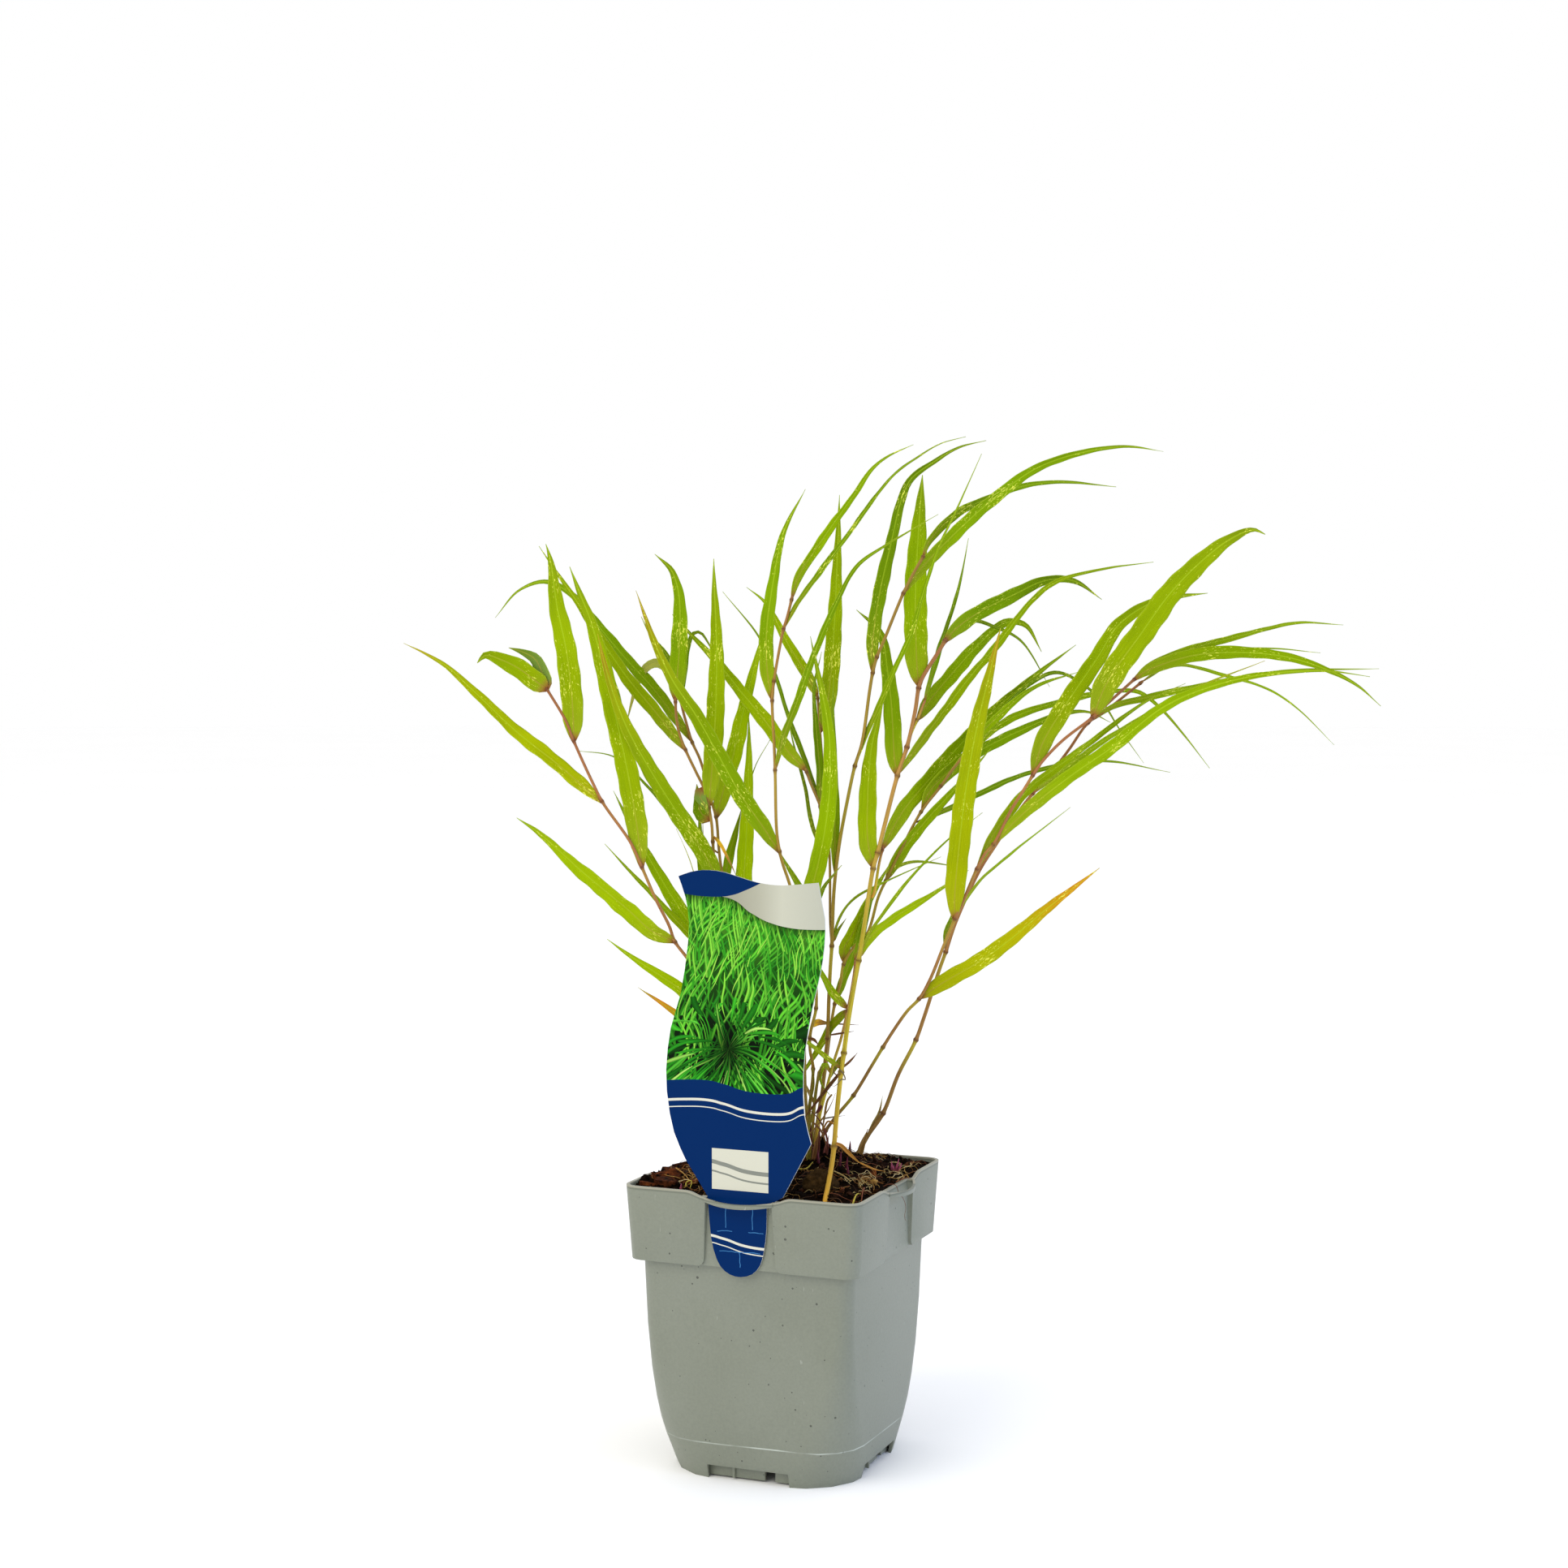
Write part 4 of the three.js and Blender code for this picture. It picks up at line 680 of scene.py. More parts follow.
# %% Leaves
BLADE_STEP = 2.2  # mm
BLADE_CELLS = 8
FOLD = 0.1  # depth of the fold, as a share of the breadth
WAVE = 0.095  # height of the margins' waves, as a share of the breadth
WAVE_LENGTH = 31  # mm
BLADE_THICKNESS = 0.25  # mm
hand = random.Random(11)


def leaf(tint, breadth, turn, back, *path):
    """A leaf: its tint, breadth in mm, turn in degrees, depth, and its path on the board."""
    return {"tint": tint, "breadth": breadth, "turn": turn, "back": back, "path": path}


def on_culm(culms, across, up):
    """The nearest place on the stem's axes to a point of the board."""
    found = []
    for one in culms:
        for (u0, z0, v0, *_), (u1, z1, v1, *_) in zip(one["points"], one["points"][1:]):
            start, way = Vector((u0, z0, v0)), Vector((u1 - u0, z1 - z0, v1 - v0))
            level = (across - u0) * way.x + (up - z0) * way.y
            at = start + way * min(1, max(0, level / (way.x**2 + way.y**2)))
            found.append((math.hypot(at.x - across, at.y - up), tuple(at)))
    return min(found)[1]


def blade_line(culms, path, back):
    """The midrib, from the stem on. back is the depth at the tip, or halfway and at the tip."""
    u0, z0, start = on_culm(culms, *path[0])
    flat = [Vector((u0, z0)), *(Vector(point) for point in path[1:])]
    reach = lengths_along(flat)
    points = []
    for at, gone in zip(flat, reach):
        t = gone / reach[-1]
        if isinstance(back, tuple):
            middle, tip = back
            bend = 4 * middle - tip - 3 * start
            depth = start + bend * t + (tip - start - bend) * t * t
        else:
            depth = start + (back - start) * t
        points.append(place(at.x, at.y, depth))
    return smooth_line(points, BLADE_STEP * MM)


def blade_breadth(t, fullness):
    """Breadth at a share of the length, as a share of the full breadth."""
    rise = 0.2 + 0.8 * (1 - max(0, 1 - t / 0.15) ** 2)
    fall = 1 - (max(0, t - 0.33) / 0.67) ** fullness
    return max(0.02, rise * fall)


def grow_blade(shape, culms, tint, breadth, turn, back, path):
    """A blade along its midrib, folded and waved, in a tone of its own."""
    line, length = blade_line(culms, path, back)
    ways = directions(line)
    last = len(line) - 1
    phase = path[0][0]
    own_tone = hand.uniform(0.93, 1.06)
    ripple = hand.uniform(8, 13)
    fullness = 1.12 + 0.3 * max(0, breadth - 6.2)

    def put(step, side):
        t = step / last
        sideways = ways[step].cross(FRONT).normalized()
        sideways.rotate(Quaternion(ways[step], math.radians(turn)))
        facing = sideways.cross(ways[step])
        waves = t * length / MM * 2 * math.pi / WAVE_LENGTH + phase
        width = breadth * blade_breadth(t, fullness) * (1 + 0.04 * math.sin(2.7 * waves + side))
        wave = WAVE * min(1, 4 * t) * (math.sin(waves) if side > 0 else math.cos(waves))
        wave += 0.03 * math.sin(t * length / MM * 2 * math.pi / ripple + phase * side)
        lift = FOLD * (abs(side) ** 1.3 - 1) + wave * side * side
        at = line[step] + (sideways * side / 2 + facing * lift) * width * MM
        colour = tint_at(tint, t) * own_tone
        colour.w = 1
        return at, side * width / 2, colour

    draw_grid(shape, line, BLADE_CELLS, put)


# %% [markdown]
# ### Leaf and stem finishes
#
# A leaf's surface is waxy: a satin bloom broken by parallel veins half a millimetre apart, a
# midrib that is tan at the collar and pale green further on, thin pale margins, and here and
# there a yellow fleck where the skin was scraped. The veins are a Wave texture laid across the
# blade. The bloom scatters what a smooth skin would mirror, so the specular level is low.
# Stems are smoother and darker, with fine ribs along them.

# %% Places and tint on a piece
def attributes(add):
    """The place across and along the piece in mm, as one vector, and the parts that make it."""
    across, along = (add("Attribute", attribute_name=name).outputs["Fac"]
                     for name in ("across", "along"))
    return add("CombineXYZ", (across, along)), across, along


def own_tint(add, tone):
    """The tint of the piece at each place, made darker or lighter by a tone."""
    tint = add("Attribute", attribute_name="tint").outputs["Color"]
    return add("VectorMath", {0: tint, "Scale": tone}, operation="SCALE")


def drawn_out(add, on_piece, across, along, detail, distortion=0.0):
    """Noise that is drawn out along the piece, with its scales across and along it."""
    drawn = add("Mapping", {"Vector": on_piece, "Scale": (across, along, 1.0)})
    return add("TexNoise", {"Vector": drawn, "Scale": 1.0, "Detail": detail,
                            "Distortion": distortion})


# %% Waxy grass leaf
leaf_finish, add, shade = material("waxy_grass_leaf", IOR=1.45, Roughness=0.45,
                                   Specular_IOR_Level=0.03)
on_blade, across, along = attributes(add)
where = add("TexCoord").outputs["Object"]
VEIN_SPACING = 0.62  # mm; drawn a little wider than real ones, to show
veins = add("TexWave", {"Vector": on_blade, "Distortion": 0.6, "Scale": 0.314 / VEIN_SPACING,
                        "Detail": 1.0, "Detail Scale": 0.2}).outputs["Fac"]
streaks = drawn_out(add, on_blade, 1.6, 0.05, 3.0)
patches = add("TexNoise", {"Vector": where, "Scale": 45.0, "Detail": 2.0})
vein_tone = add("MapRange", (veins, 0.0, 1.0, 0.93, 1.05))
streak_tone = add("MapRange", (streaks, 0.25, 0.75, 0.9, 1.09))
patch_tone = add("MapRange", (patches, 0.3, 0.7, 0.93, 1.06))
tones = add("Math", (vein_tone, streak_tone), operation="MULTIPLY")
tones = add("Math", (tones, patch_tone), operation="MULTIPLY")

# %% Midrib, margins and collar
# the midrib, a third of a millimetre wide, tan over the first few centimetres
from_middle = add("Math", [across], operation="ABSOLUTE")
from_collar = add("MapRange", (along, 6.0, 45.0))
rib = add("Mix", {0: from_collar, 6: "#a58240", 7: "#a9c42c"}, data_type="RGBA")
edge = add("Attribute", attribute_name="edge").outputs["Fac"]
skin = own_tint(add, tones)
for reach, colour in (
    ((from_middle, 0.1, 0.4, 0.42, 0.0), rib),
    ((edge, 0.86, 1.0, 0.0, 0.3), "#b5c63a"),
    ((along, 0.8, 4.5, 0.85, 0.0), "#8f4c30"),
):
    skin = add("Mix", {0: add("MapRange", reach), 6: skin, 7: colour}, data_type="RGBA")

# %% Scraped flecks
# flecks a third of a millimetre wide and 1 to 3 mm long, in scattered groups
fleck = drawn_out(add, on_blade, 2.0, 0.4, 2.0, distortion=1.2)
groups = add("TexNoise", {"Vector": where, "Scale": 60.0})
grouped = add("MapRange", (groups, 0.48, 0.7, 0.0, 0.13))
flecked = add("Math", (fleck, grouped), operation="ADD")
shows = add("MapRange", (flecked, 0.708, 0.722, 0.0, 0.95))
shade({"Base Color": add("Mix", {0: shows, 6: skin, 7: "#dcde58"}, data_type="RGBA"),
       "Normal": add("Bump", {"Height": veins, "Strength": 0.25, "Distance": 0.0002})})

# %% Smooth grass stem
# A stem's skin is hard and smooth, with ribs finer than a tenth of a millimetre: a dull shine
# in long streaks, and blotches where the green skin shows through the red.
culm_finish, add, shade = material("smooth_grass_stem", IOR=1.45, Roughness=0.42,
                                   Specular_IOR_Level=0.12)
on_stem = attributes(add)[0]
fibres = drawn_out(add, on_stem, 3.0, 0.06, 3.0)
toned = own_tint(add, add("MapRange", (fibres, 0.25, 0.75, 0.7, 1.3)))
blotches = drawn_out(add, on_stem, 0.8, 0.12, 2.0)
blotched = add("MapRange", (blotches, 0.55, 0.75, 0.0, 0.4))
shade({"Base Color": add("Mix", {0: blotched, 6: toned, 7: "#8d8232"}, data_type="RGBA"),
       "Normal": add("Bump", {"Height": fibres, "Strength": 0.3, "Distance": 0.0002})})


# %% Growing a leafy stem
def grow_stem(name, culms, leaves, slot="grass"):
    """The culms and the leaves of one stem, in place of its CAD node."""
    shape = new_shape()
    for number, one in enumerate(culms):
        grow_culm(shape, from_soil=number == 0, **one)
    shape.transform(TO_POT)
    finished(shape, name + "_culms", slot, culm_finish, replaces=[name])
    shape = new_shape()
    for blade in leaves:
        grow_blade(shape, culms, **blade)
    shape.transform(TO_POT)
    blades = finished(shape, name + "_leaves", slot, leaf_finish, replaces=[name])
    thicken(blades, BLADE_THICKNESS)


# %% Leftmost stem, arching out in front of its neighbours
grow_stem("stem_left_outer", culms=[
    culm("russet", 1.6, 1.2, (5, 133, -8), (-4, 158, -11), (-16, 180, -14), (-30, 203, -18),
         (-44, 223.5, -21), (-49.5, 231, -22, JOINT), (-52, 238, -23), (-58, 250, -24),
         (-64, 264, -25, JOINT), (-69, 275, -26), (-81.3, 292.8, -27, JOINT), (-85.2, 300.5, -27),
         (-94, 320, -28, JOINT), (-97.5, 329, -28), (-105.5, 342.5, -28, JOINT)),
], leaves=[
    leaf("lime", 8.5, 0, -35, (-105.5, 342.5), (-112, 347.5), (-118, 352), (-126, 356),
         (-133, 358), (-136.5, 354.5)),
    leaf("olive_leaf", 6.5, -10, -29, (-105.5, 342.5), (-108, 350), (-110.8, 356), (-116, 359.2),
         (-122.6, 361.3)),
    leaf("lime", 9.3, 0, -31, (-94, 320), (-94.3, 330), (-94.9, 340), (-97.2, 360), (-101.3, 380),
         (-104, 400), (-106, 407)),
    leaf("yellow", 6.5, 25, -20, (-81.5, 292.5), (-92, 302), (-100, 309), (-120, 325), (-140, 344),
         (-150, 353), (-160, 359), (-169, 363.3)),
    leaf("lime", 9.3, 0, -28, (-64, 264), (-66.6, 285), (-72, 315), (-79, 345), (-86, 372),
         (-91, 385), (-95.5, 397)),
    leaf("bright", 8, -20, -50, (-49.5, 230.5), (-60, 235.5), (-70, 244.5), (-90, 261.3),
         (-110, 279.5), (-119.5, 286)),
    leaf("bright", 6.4, 25, -22, (-25, 193), (-36, 200.5), (-47, 209.7), (-60, 218.4),
         (-70, 225), (-79.5, 232)),
    leaf("orange_tip", 5.4, 20, -26, (-15, 178), (-30, 184), (-40, 191.5), (-50, 199.6),
         (-66, 210.5)),
    leaf("straw", 0.9, 40, -24, (-36, 212), (-38.5, 245), (-40.6, 259.9), (-42.7, 267.1),
         (-45.6, 274.3), (-48.8, 281.2)),
])

# %% Second stem from the left
grow_stem("stem_left_front", culms=[
    culm("olive", 1.5, 1.2, (6, 134, 6), (0, 155, 4), (-10, 180, 2), (-20, 215, 0),
         (-27, 245, -3), (-28.5, 252, -4), (-31.5, 264, -5), (-32.5, 275, -7, JOINT),
         (-33, 283, -9), (-34.3, 291, -10, JOINT), (-36.2, 298.5, -10), (-40, 306.5, -10),
         (-44.5, 316, -10, JOINT), (-47.3, 323.5, -10), (-48.5, 330, -10),
         (-49, 338, -10, JOINT)),
], leaves=[
    leaf("moss", 7.5, 0, -15, (-49, 338), (-48.5, 345), (-47.2, 362), (-47.1, 382), (-48.5, 390),
         (-51, 396), (-58, 402.5)),
    leaf("lime", 6.3, -20, 0, (-44.5, 316), (-50, 323), (-60, 335.3), (-70, 347.5), (-80, 362),
         (-92, 381), (-103, 397), (-109, 406)),
    leaf("lime", 8, 0, (-18, -22), (-34.3, 291), (-33.5, 300), (-31.4, 330), (-30.7, 360),
         (-31.8, 390), (-31.9, 400.5)),
    leaf("amber_tip", 8, 10, (-24, -40), (-28.5, 252), (-33, 264), (-40, 276), (-50, 291),
         (-60, 307), (-70, 325), (-76, 340), (-80, 353), (-83.3, 367.5)),
    leaf("lime", 4.5, 40, -8, (-23.5, 215), (-34, 225.5), (-44, 235.5), (-60, 252.5), (-70, 263),
         (-80.5, 274.5)),
    leaf("green", 5, 0, -3, (-23, 222), (-30, 238), (-35, 250), (-37.8, 266), (-38.3, 284),
         (-39.5, 297.5)),
    leaf("dry", 2, 40, -16, (-32.6, 278), (-30, 275.5), (-26.5, 269.5), (-22.3, 260.5)),
    leaf("green", 1, 0, -9, (-31, 263), (-36.6, 268), (-36.9, 278), (-36.9, 286)),
    leaf("deep", 6.6, 0, -9, (-36.9, 284.4), (-38, 288.4), (-38.7, 293.1), (-39.6, 301)),
    leaf("olive_leaf", 5.5, 10, -12, (-40, 298), (-38.3, 295.5), (-36, 291.5), (-34.5, 287)),
])

# %% Third stem, behind the second
grow_stem("stem_left_back", culms=[
    culm("olive", 1.5, 1.2, (8.5, 134, 14), (2, 155, 11), (-8, 180, 8), (-17, 212, 6),
         (-24, 240, 4), (-28.7, 263, 3), (-29.8, 272, 3), (-31, 286, 2, JOINT), (-33, 293, 2),
         (-38, 311.5, 2), (-41.8, 320, 2, JOINT), (-44, 327.5, 2), (-45, 331, 2),
         (-46.8, 338.5, 2, JOINT)),
], leaves=[
    leaf("moss", 5.8, 30, 15, (-41.8, 320), (-50, 332), (-60, 345), (-70, 355.8), (-80, 367.5),
         (-88, 377.5), (-95, 385), (-106, 390.5), (-118, 386.5), (-128.5, 374.5)),
    leaf("bright", 7.5, 15, 5, (-31, 286), (-28, 297), (-23.5, 313), (-20, 328), (-16.5, 343),
         (-9.5, 370)),
    leaf("pale", 5, 30, 12, (-46.8, 339), (-51, 350), (-56, 354.5), (-62, 352.5), (-66, 345),
         (-70.5, 328.5)),
    leaf("deep", 3, 45, 8, (-46.8, 339), (-50, 352), (-53, 358.5), (-60, 367), (-64, 375)),
    leaf("deep", 3, 35, 6, (-46.8, 338.5), (-45, 350), (-43.8, 360), (-41, 367.5), (-38, 368),
         (-34.5, 363.5), (-31, 356)),
    leaf("green", 7, 0, 3, (-20, 222), (-34, 228), (-44, 240.5), (-55, 258), (-68, 281),
         (-76.5, 298)),
    leaf("green", 5, 30, 8, (-27.5, 256), (-26.5, 262), (-25, 270), (-22.5, 279), (-19.8, 290)),
    leaf("bright", 7.3, 0, 5, (-21.5, 230), (-19.5, 245), (-18.6, 262), (-17.6, 280), (-16.5, 310),
         (-16.5, 332)),
    leaf("deep", 1.5, 45, 10, (-23.5, 238), (-18, 290), (-14, 308), (-7, 320.8)),
    leaf("deep", 2, 40, 0, (-29.5, 270), (-45, 281), (-60, 298.5), (-76, 313), (-92, 315.7)),
])

# %% Front stem of the middle
grow_stem("stem_middle_front", culms=[
    culm("olive", 1.5, 1.2, (9.5, 139, -4), (9.5, 148, -5), (8.5, 165, -7), (8, 190, -10),
         (7, 215, -14), (5.8, 236, -18), (1.8, 255.5, -22), (-1.5, 265.5, -24),
         (-2.8, 270.5, -25, JOINT), (-4.2, 280, -27), (-4.9, 307, -30, JOINT), (-5.4, 320, -30),
         (-6.2, 338, -30, JOINT), (-5.5, 346, -30, JOINT), (-3.5, 358, -30),
         (-1.3, 369, -30, JOINT), (0.5, 375, -29), (2.5, 383, -28, JOINT)),
], leaves=[
    leaf("green", 4.5, 35, -28, (2.5, 383), (5, 391.5), (10, 400), (20, 414.5), (30, 428.5),
         (38, 440), (45, 445.5), (56, 450.5)),
    leaf("deep", 3, -45, -18, (-1, 369.5), (5, 381), (15, 395), (25, 408), (35, 422), (48, 438),
         (57, 444.5), (68, 451), (79, 454)),
    leaf("moss", 6.2, 0, -30, (-6.3, 338.5), (-8.3, 350), (-8.7, 368), (-5.8, 390), (-1.2, 412),
         (8.5, 431)),
    leaf("moss", 3.8, 35, (-40, -50), (-4.9, 307), (-1, 322), (5.5, 339), (13, 360), (21.7, 380),
         (31, 397), (45, 407), (55, 413), (67, 420)),
    leaf("moss_tip", 7.5, 0, (-36, -30), (-2.8, 270.5), (-10, 281.5), (-20, 296), (-40, 331.5),
         (-50, 346.5), (-57.5, 362), (-66.3, 386.5)),
    leaf("green", 7.5, 0, (-24, -12), (5.8, 236), (11.5, 255), (16, 274), (18.8, 293), (19.5, 310),
         (18.5, 327), (10.7, 366.3)),
])

# %% Stem behind it, nearly upright
grow_stem("stem_middle", culms=[
    culm("umber", 1.5, 1.2, (10, 140, 5), (10.4, 155, 3), (11, 162, 2), (12, 174.5, 0, JOINT),
         (10.7, 182, -1), (10.5, 187.5, -2, JOINT), (11.2, 192, -3), (13.3, 201, -5, JOINT),
         (13.3, 215, -6), (13.5, 240, -8), (13.7, 262, -9), (15.1, 291, -10, JOINT),
         (14, 294, -10), (11, 301, -11), (8.8, 307, -12, JOINT)),
], leaves=[
    leaf("lime", 6.5, 10, -5, (8.8, 307), (0, 316.5), (-10, 330), (-20, 342), (-30, 354.5),
         (-40, 365), (-50.3, 376)),
    leaf("deep", 2.8, 45, 15, (15.1, 291.5), (12.5, 300), (4, 323), (-1, 337), (-5, 350),
         (-12, 366), (-28, 386)),
    leaf("deep", 2.2, 40, -3, (13.8, 274), (11, 285), (8.5, 299), (3, 320), (0.5, 332)),
    leaf("deep", 3.8, 30, 0, (15.2, 291), (15, 305), (12.7, 334), (12.3, 344), (15.7, 359.5)),
    leaf("green", 4.5, 25, -12, (13.6, 238), (10, 248), (5, 257), (0, 265.5), (-3.5, 272)),
    leaf("deep", 2, 30, -10, (13.5, 247), (17, 255.5), (20.5, 260), (24.7, 265)),
    leaf("dry", 3.6, 10, (7, 10), (11.7, 194), (14.5, 194.8), (17.5, 194.5), (21.5, 194)),
])

# %% Tallest stem, with a pale side shoot
grow_stem("stem_middle_right", culms=[
    culm("umber", 1.8, 1.3, (13.7, 141, 10), (14.5, 150, 9), (16.3, 165, 7), (17.8, 182, 5),
         (18.4, 187.5, 4, JOINT), (19, 205, 2), (19.7, 220, 1), (20.3, 229, 0, JOINT),
         (21, 250, -4), (22, 262, -6), (24, 277, -8), (27, 293, -12), (30.3, 308.5, -15, JOINT),
         (33.5, 319, -17), (37, 343, -21), (38.2, 350, -22, JOINT), (40, 357, -23, JOINT),
         (43, 364, -25), (51.8, 385.5, -28, JOINT), (57, 395.5, -29), (60.2, 401, -30, JOINT)),
    culm("umber", 1.2, 1.1, (20.3, 229, 0), (19.6, 240, 0), (19.3, 268, 1), (18, 285, 2),
         (15.2, 322, 3), (13.9, 339.5, 5, JOINT)),
], leaves=[
    leaf("deep", 6, 10, -10, (38, 350.5), (38, 360), (40.5, 381), (46, 406), (51, 427),
         (55, 435.5), (65, 443), (76, 449.3), (88, 452.3)),
    leaf("moss", 5.8, 20, -20, (51.8, 385.8), (60, 396.5), (75, 412), (90, 425.5), (110, 440),
         (130, 447), (150, 449.7), (166, 447.5)),
    leaf("moss", 4, 35, 5, (60.2, 401.5), (63, 408), (75, 420), (90, 427.3), (103, 432),
         (120, 434.2), (145.3, 432)),
    leaf("moss", 3, -45, (-30, -50), (30.3, 309), (35, 322), (42, 338), (48, 352), (56, 370),
         (60, 384), (67, 405), (75, 422), (86, 446.5)),
    leaf("lime", 5, 15, 12, (13.9, 339.5), (10, 348), (0, 364.5), (-9, 381), (-17.5, 388)),
    leaf("lime", 7.3, 0, 0, (15, 324), (17.5, 332), (20, 352), (21.3, 372), (22.6, 402),
         (23.5, 428.5)),
    leaf("moss", 4.5, 30, -9, (21, 261), (21.8, 275), (21.5, 303), (20.7, 335), (21.1, 350)),
    leaf("green", 1.5, 40, -4, (21, 231), (24, 242), (30, 250), (45, 258), (68.7, 268.7)),
    leaf("deep", 2, 30, -2, (20.5, 230), (22.5, 235), (26.7, 241.3)),
])

# %% Stout straw-coloured stem with two side shoots
grow_stem("stem_stout", culms=[
    culm("straw_culm", 2.2, 1.7, (17.3, 113.4, -54), (18.7, 121.5, -46), (20.2, 130, -37.5),
         (21.3, 138.5, -32, JOINT), (22.3, 151, -29), (24, 168, -25), (24.5, 172.5, -24, JOINT),
         (25.7, 181, -22, JOINT), (27.3, 193, -20), (29.5, 207, -18), (32.2, 222.3, -16, JOINT),
         (34.7, 238, -15), (38.7, 264, -14, JOINT), (40.5, 270, -14, JOINT), (43.7, 283, -13),
         (49.2, 304.5, -12, JOINT), (53.5, 317.5, -12, JOINT), (57, 333, -12),
         (58.7, 344, -12, JOINT), (60.5, 348.5, -13), (67, 359, -14), (70, 364, -15, JOINT)),
    culm("straw_culm", 1.4, 1.1, (53.5, 318, -12), (55.5, 324, -12), (58, 329.5, -11, JOINT),
         (61, 337, -11)),
    culm("straw_culm", 1.4, 1.1, (37.5, 250, -14), (38.8, 252, -13), (41.3, 266, -11),
         (42.8, 272.3, -10, JOINT)),
], leaves=[
    leaf("lime", 8, 0, -10, (38.6, 264), (36.3, 275), (36, 290), (37.8, 317), (43, 338)),
    leaf("moss", 7.5, 0, -5, (49.2, 304.8), (48, 312), (46.8, 333), (44.7, 352), (41.5, 368),
         (31, 378)),
    leaf("lime", 4.8, 35, -5, (50, 305), (55, 313), (65, 326.7), (80, 346.5), (95, 364.8),
         (110, 383.7), (120, 390.7), (140, 396), (162, 399)),
    leaf("green", 10, 0, -15, (58.7, 344.5), (58, 351), (57.1, 375), (57.2, 390), (58.5, 415),
         (60, 437.3)),
    leaf("green", 7, 20, (5, 15), (58, 329.5), (65, 339.5), (75, 351.5), (85, 362.5), (95, 371.5),
         (100, 372.8), (106, 371), (112.8, 359.5)),
    leaf("deep", 6.8, 15, 5, (70, 364), (75, 369.5), (85, 376.7), (100, 384.3), (115, 391),
         (127, 390.7), (139.3, 382.5)),
    leaf("deep", 2, 40, (8, 25), (70, 365), (82, 373), (92, 370.5), (104, 364), (116.5, 344)),
    leaf("deep", 3.3, 45, 5, (61, 337), (64, 348), (71.5, 372.5), (76.5, 389), (80.4, 409.5)),
    leaf("green", 7, 10, (8, 20), (43.2, 272.5), (52, 289), (67, 307), (82, 323.5), (97, 338),
         (112, 350.5), (128, 362.5)),
    leaf("bright", 5, 30, 3, (33, 223.5), (36, 231), (48, 241.5), (62, 250), (81, 262.7)),
    leaf("green", 2, 40, -5, (34, 226), (38, 236), (55, 259), (72, 276.5), (87, 288.3)),
    leaf("lime", 2.4, 35, -28, (24.5, 174), (20, 177.5), (10, 185.5), (0, 192)),
    leaf("deep", 2.5, 30, -24, (25.5, 180), (22.5, 175.5), (20, 170)),
])

# %% Stem at the back, with thin dark leaves
grow_stem("stem_right_back", culms=[
    culm("umber", 1.5, 1.2, (12.5, 140, 20), (15, 158, 17), (17, 170, 15), (19.8, 192, 13),
         (21.7, 203.5, 12, JOINT), (24, 212, 10), (25.7, 221.3, 8, JOINT), (30.5, 229, 5),
         (36, 234.5, 2), (41, 251, 1), (44.3, 258.3, 0, JOINT), (51, 272, -2),
         (60, 289, -4, JOINT), (68.5, 300, -5, JOINT), (73, 306.5, -5), (79, 314, -6, JOINT)),
], leaves=[
    leaf("green", 5.5, 20, -10, (44.3, 258.3), (50, 268.5), (60, 282.3), (70, 293.5), (81, 305.5),
         (90.8, 317)),
    leaf("green", 1.7, 40, 12, (44.5, 259), (50, 264.5), (58, 266.5), (78, 264)),
    leaf("moss", 6, 15, 15, (60, 289.5), (64, 298), (78, 311), (95, 320.5), (108, 326.5),
         (120, 331.5), (133, 333), (143.5, 328.3)),
    leaf("green", 4, 35, (10, 20), (68.5, 300.5), (80, 314), (95, 327.5), (110, 334),
         (137, 340.8), (155, 342), (165, 335), (175, 324), (187.5, 308)),
    leaf("green", 4, 30, 8, (79, 314.5), (85, 322), (95, 332), (110, 344), (129, 350.5)),
    leaf("deep", 2.5, 40, (20, 35), (79, 314.5), (95, 333), (108, 345.5), (120, 350.3),
         (137, 340.5), (148, 324.5), (158.3, 310.3)),
    leaf("deep", 3, 35, 35, (57, 284), (72, 290), (84, 296), (110, 306.7), (140, 311.2),
         (170, 306.2)),
    leaf("bright", 5.5, 15, 6, (25.7, 221.5), (26, 228), (30, 235), (36, 248), (47, 267)),
    leaf("moss", 4.5, 30, 5, (21.7, 204), (24, 210), (30, 226), (34, 240), (38, 252)),
])

# %% Short stem inside the clump
grow_stem("stem_short", culms=[
    culm("straw_culm", 1.5, 1.2, (13, 139, -2), (15, 153, -2), (18, 165, -1), (21.2, 177, -2),
         (24.3, 187, -2), (27.3, 200, -4, JOINT), (30, 215, -5), (30.8, 222, -5)),
], leaves=[
    leaf("lime", 4, 30, (9, 12), (27.3, 200.5), (20, 193), (15, 184), (3, 165)),
    leaf("green", 4, 30, -2, (27, 201), (22, 206.5), (17, 214.5), (10, 228)),
    leaf("deep", 3.5, 20, -8, (30.8, 222), (33, 232), (39.5, 255), (41, 259)),
    leaf("green", 2.2, 40, -10, (19.8, 172), (17.4, 176.3), (15.2, 171.8), (15.8, 167),
         (19.4, 162.3)),
])

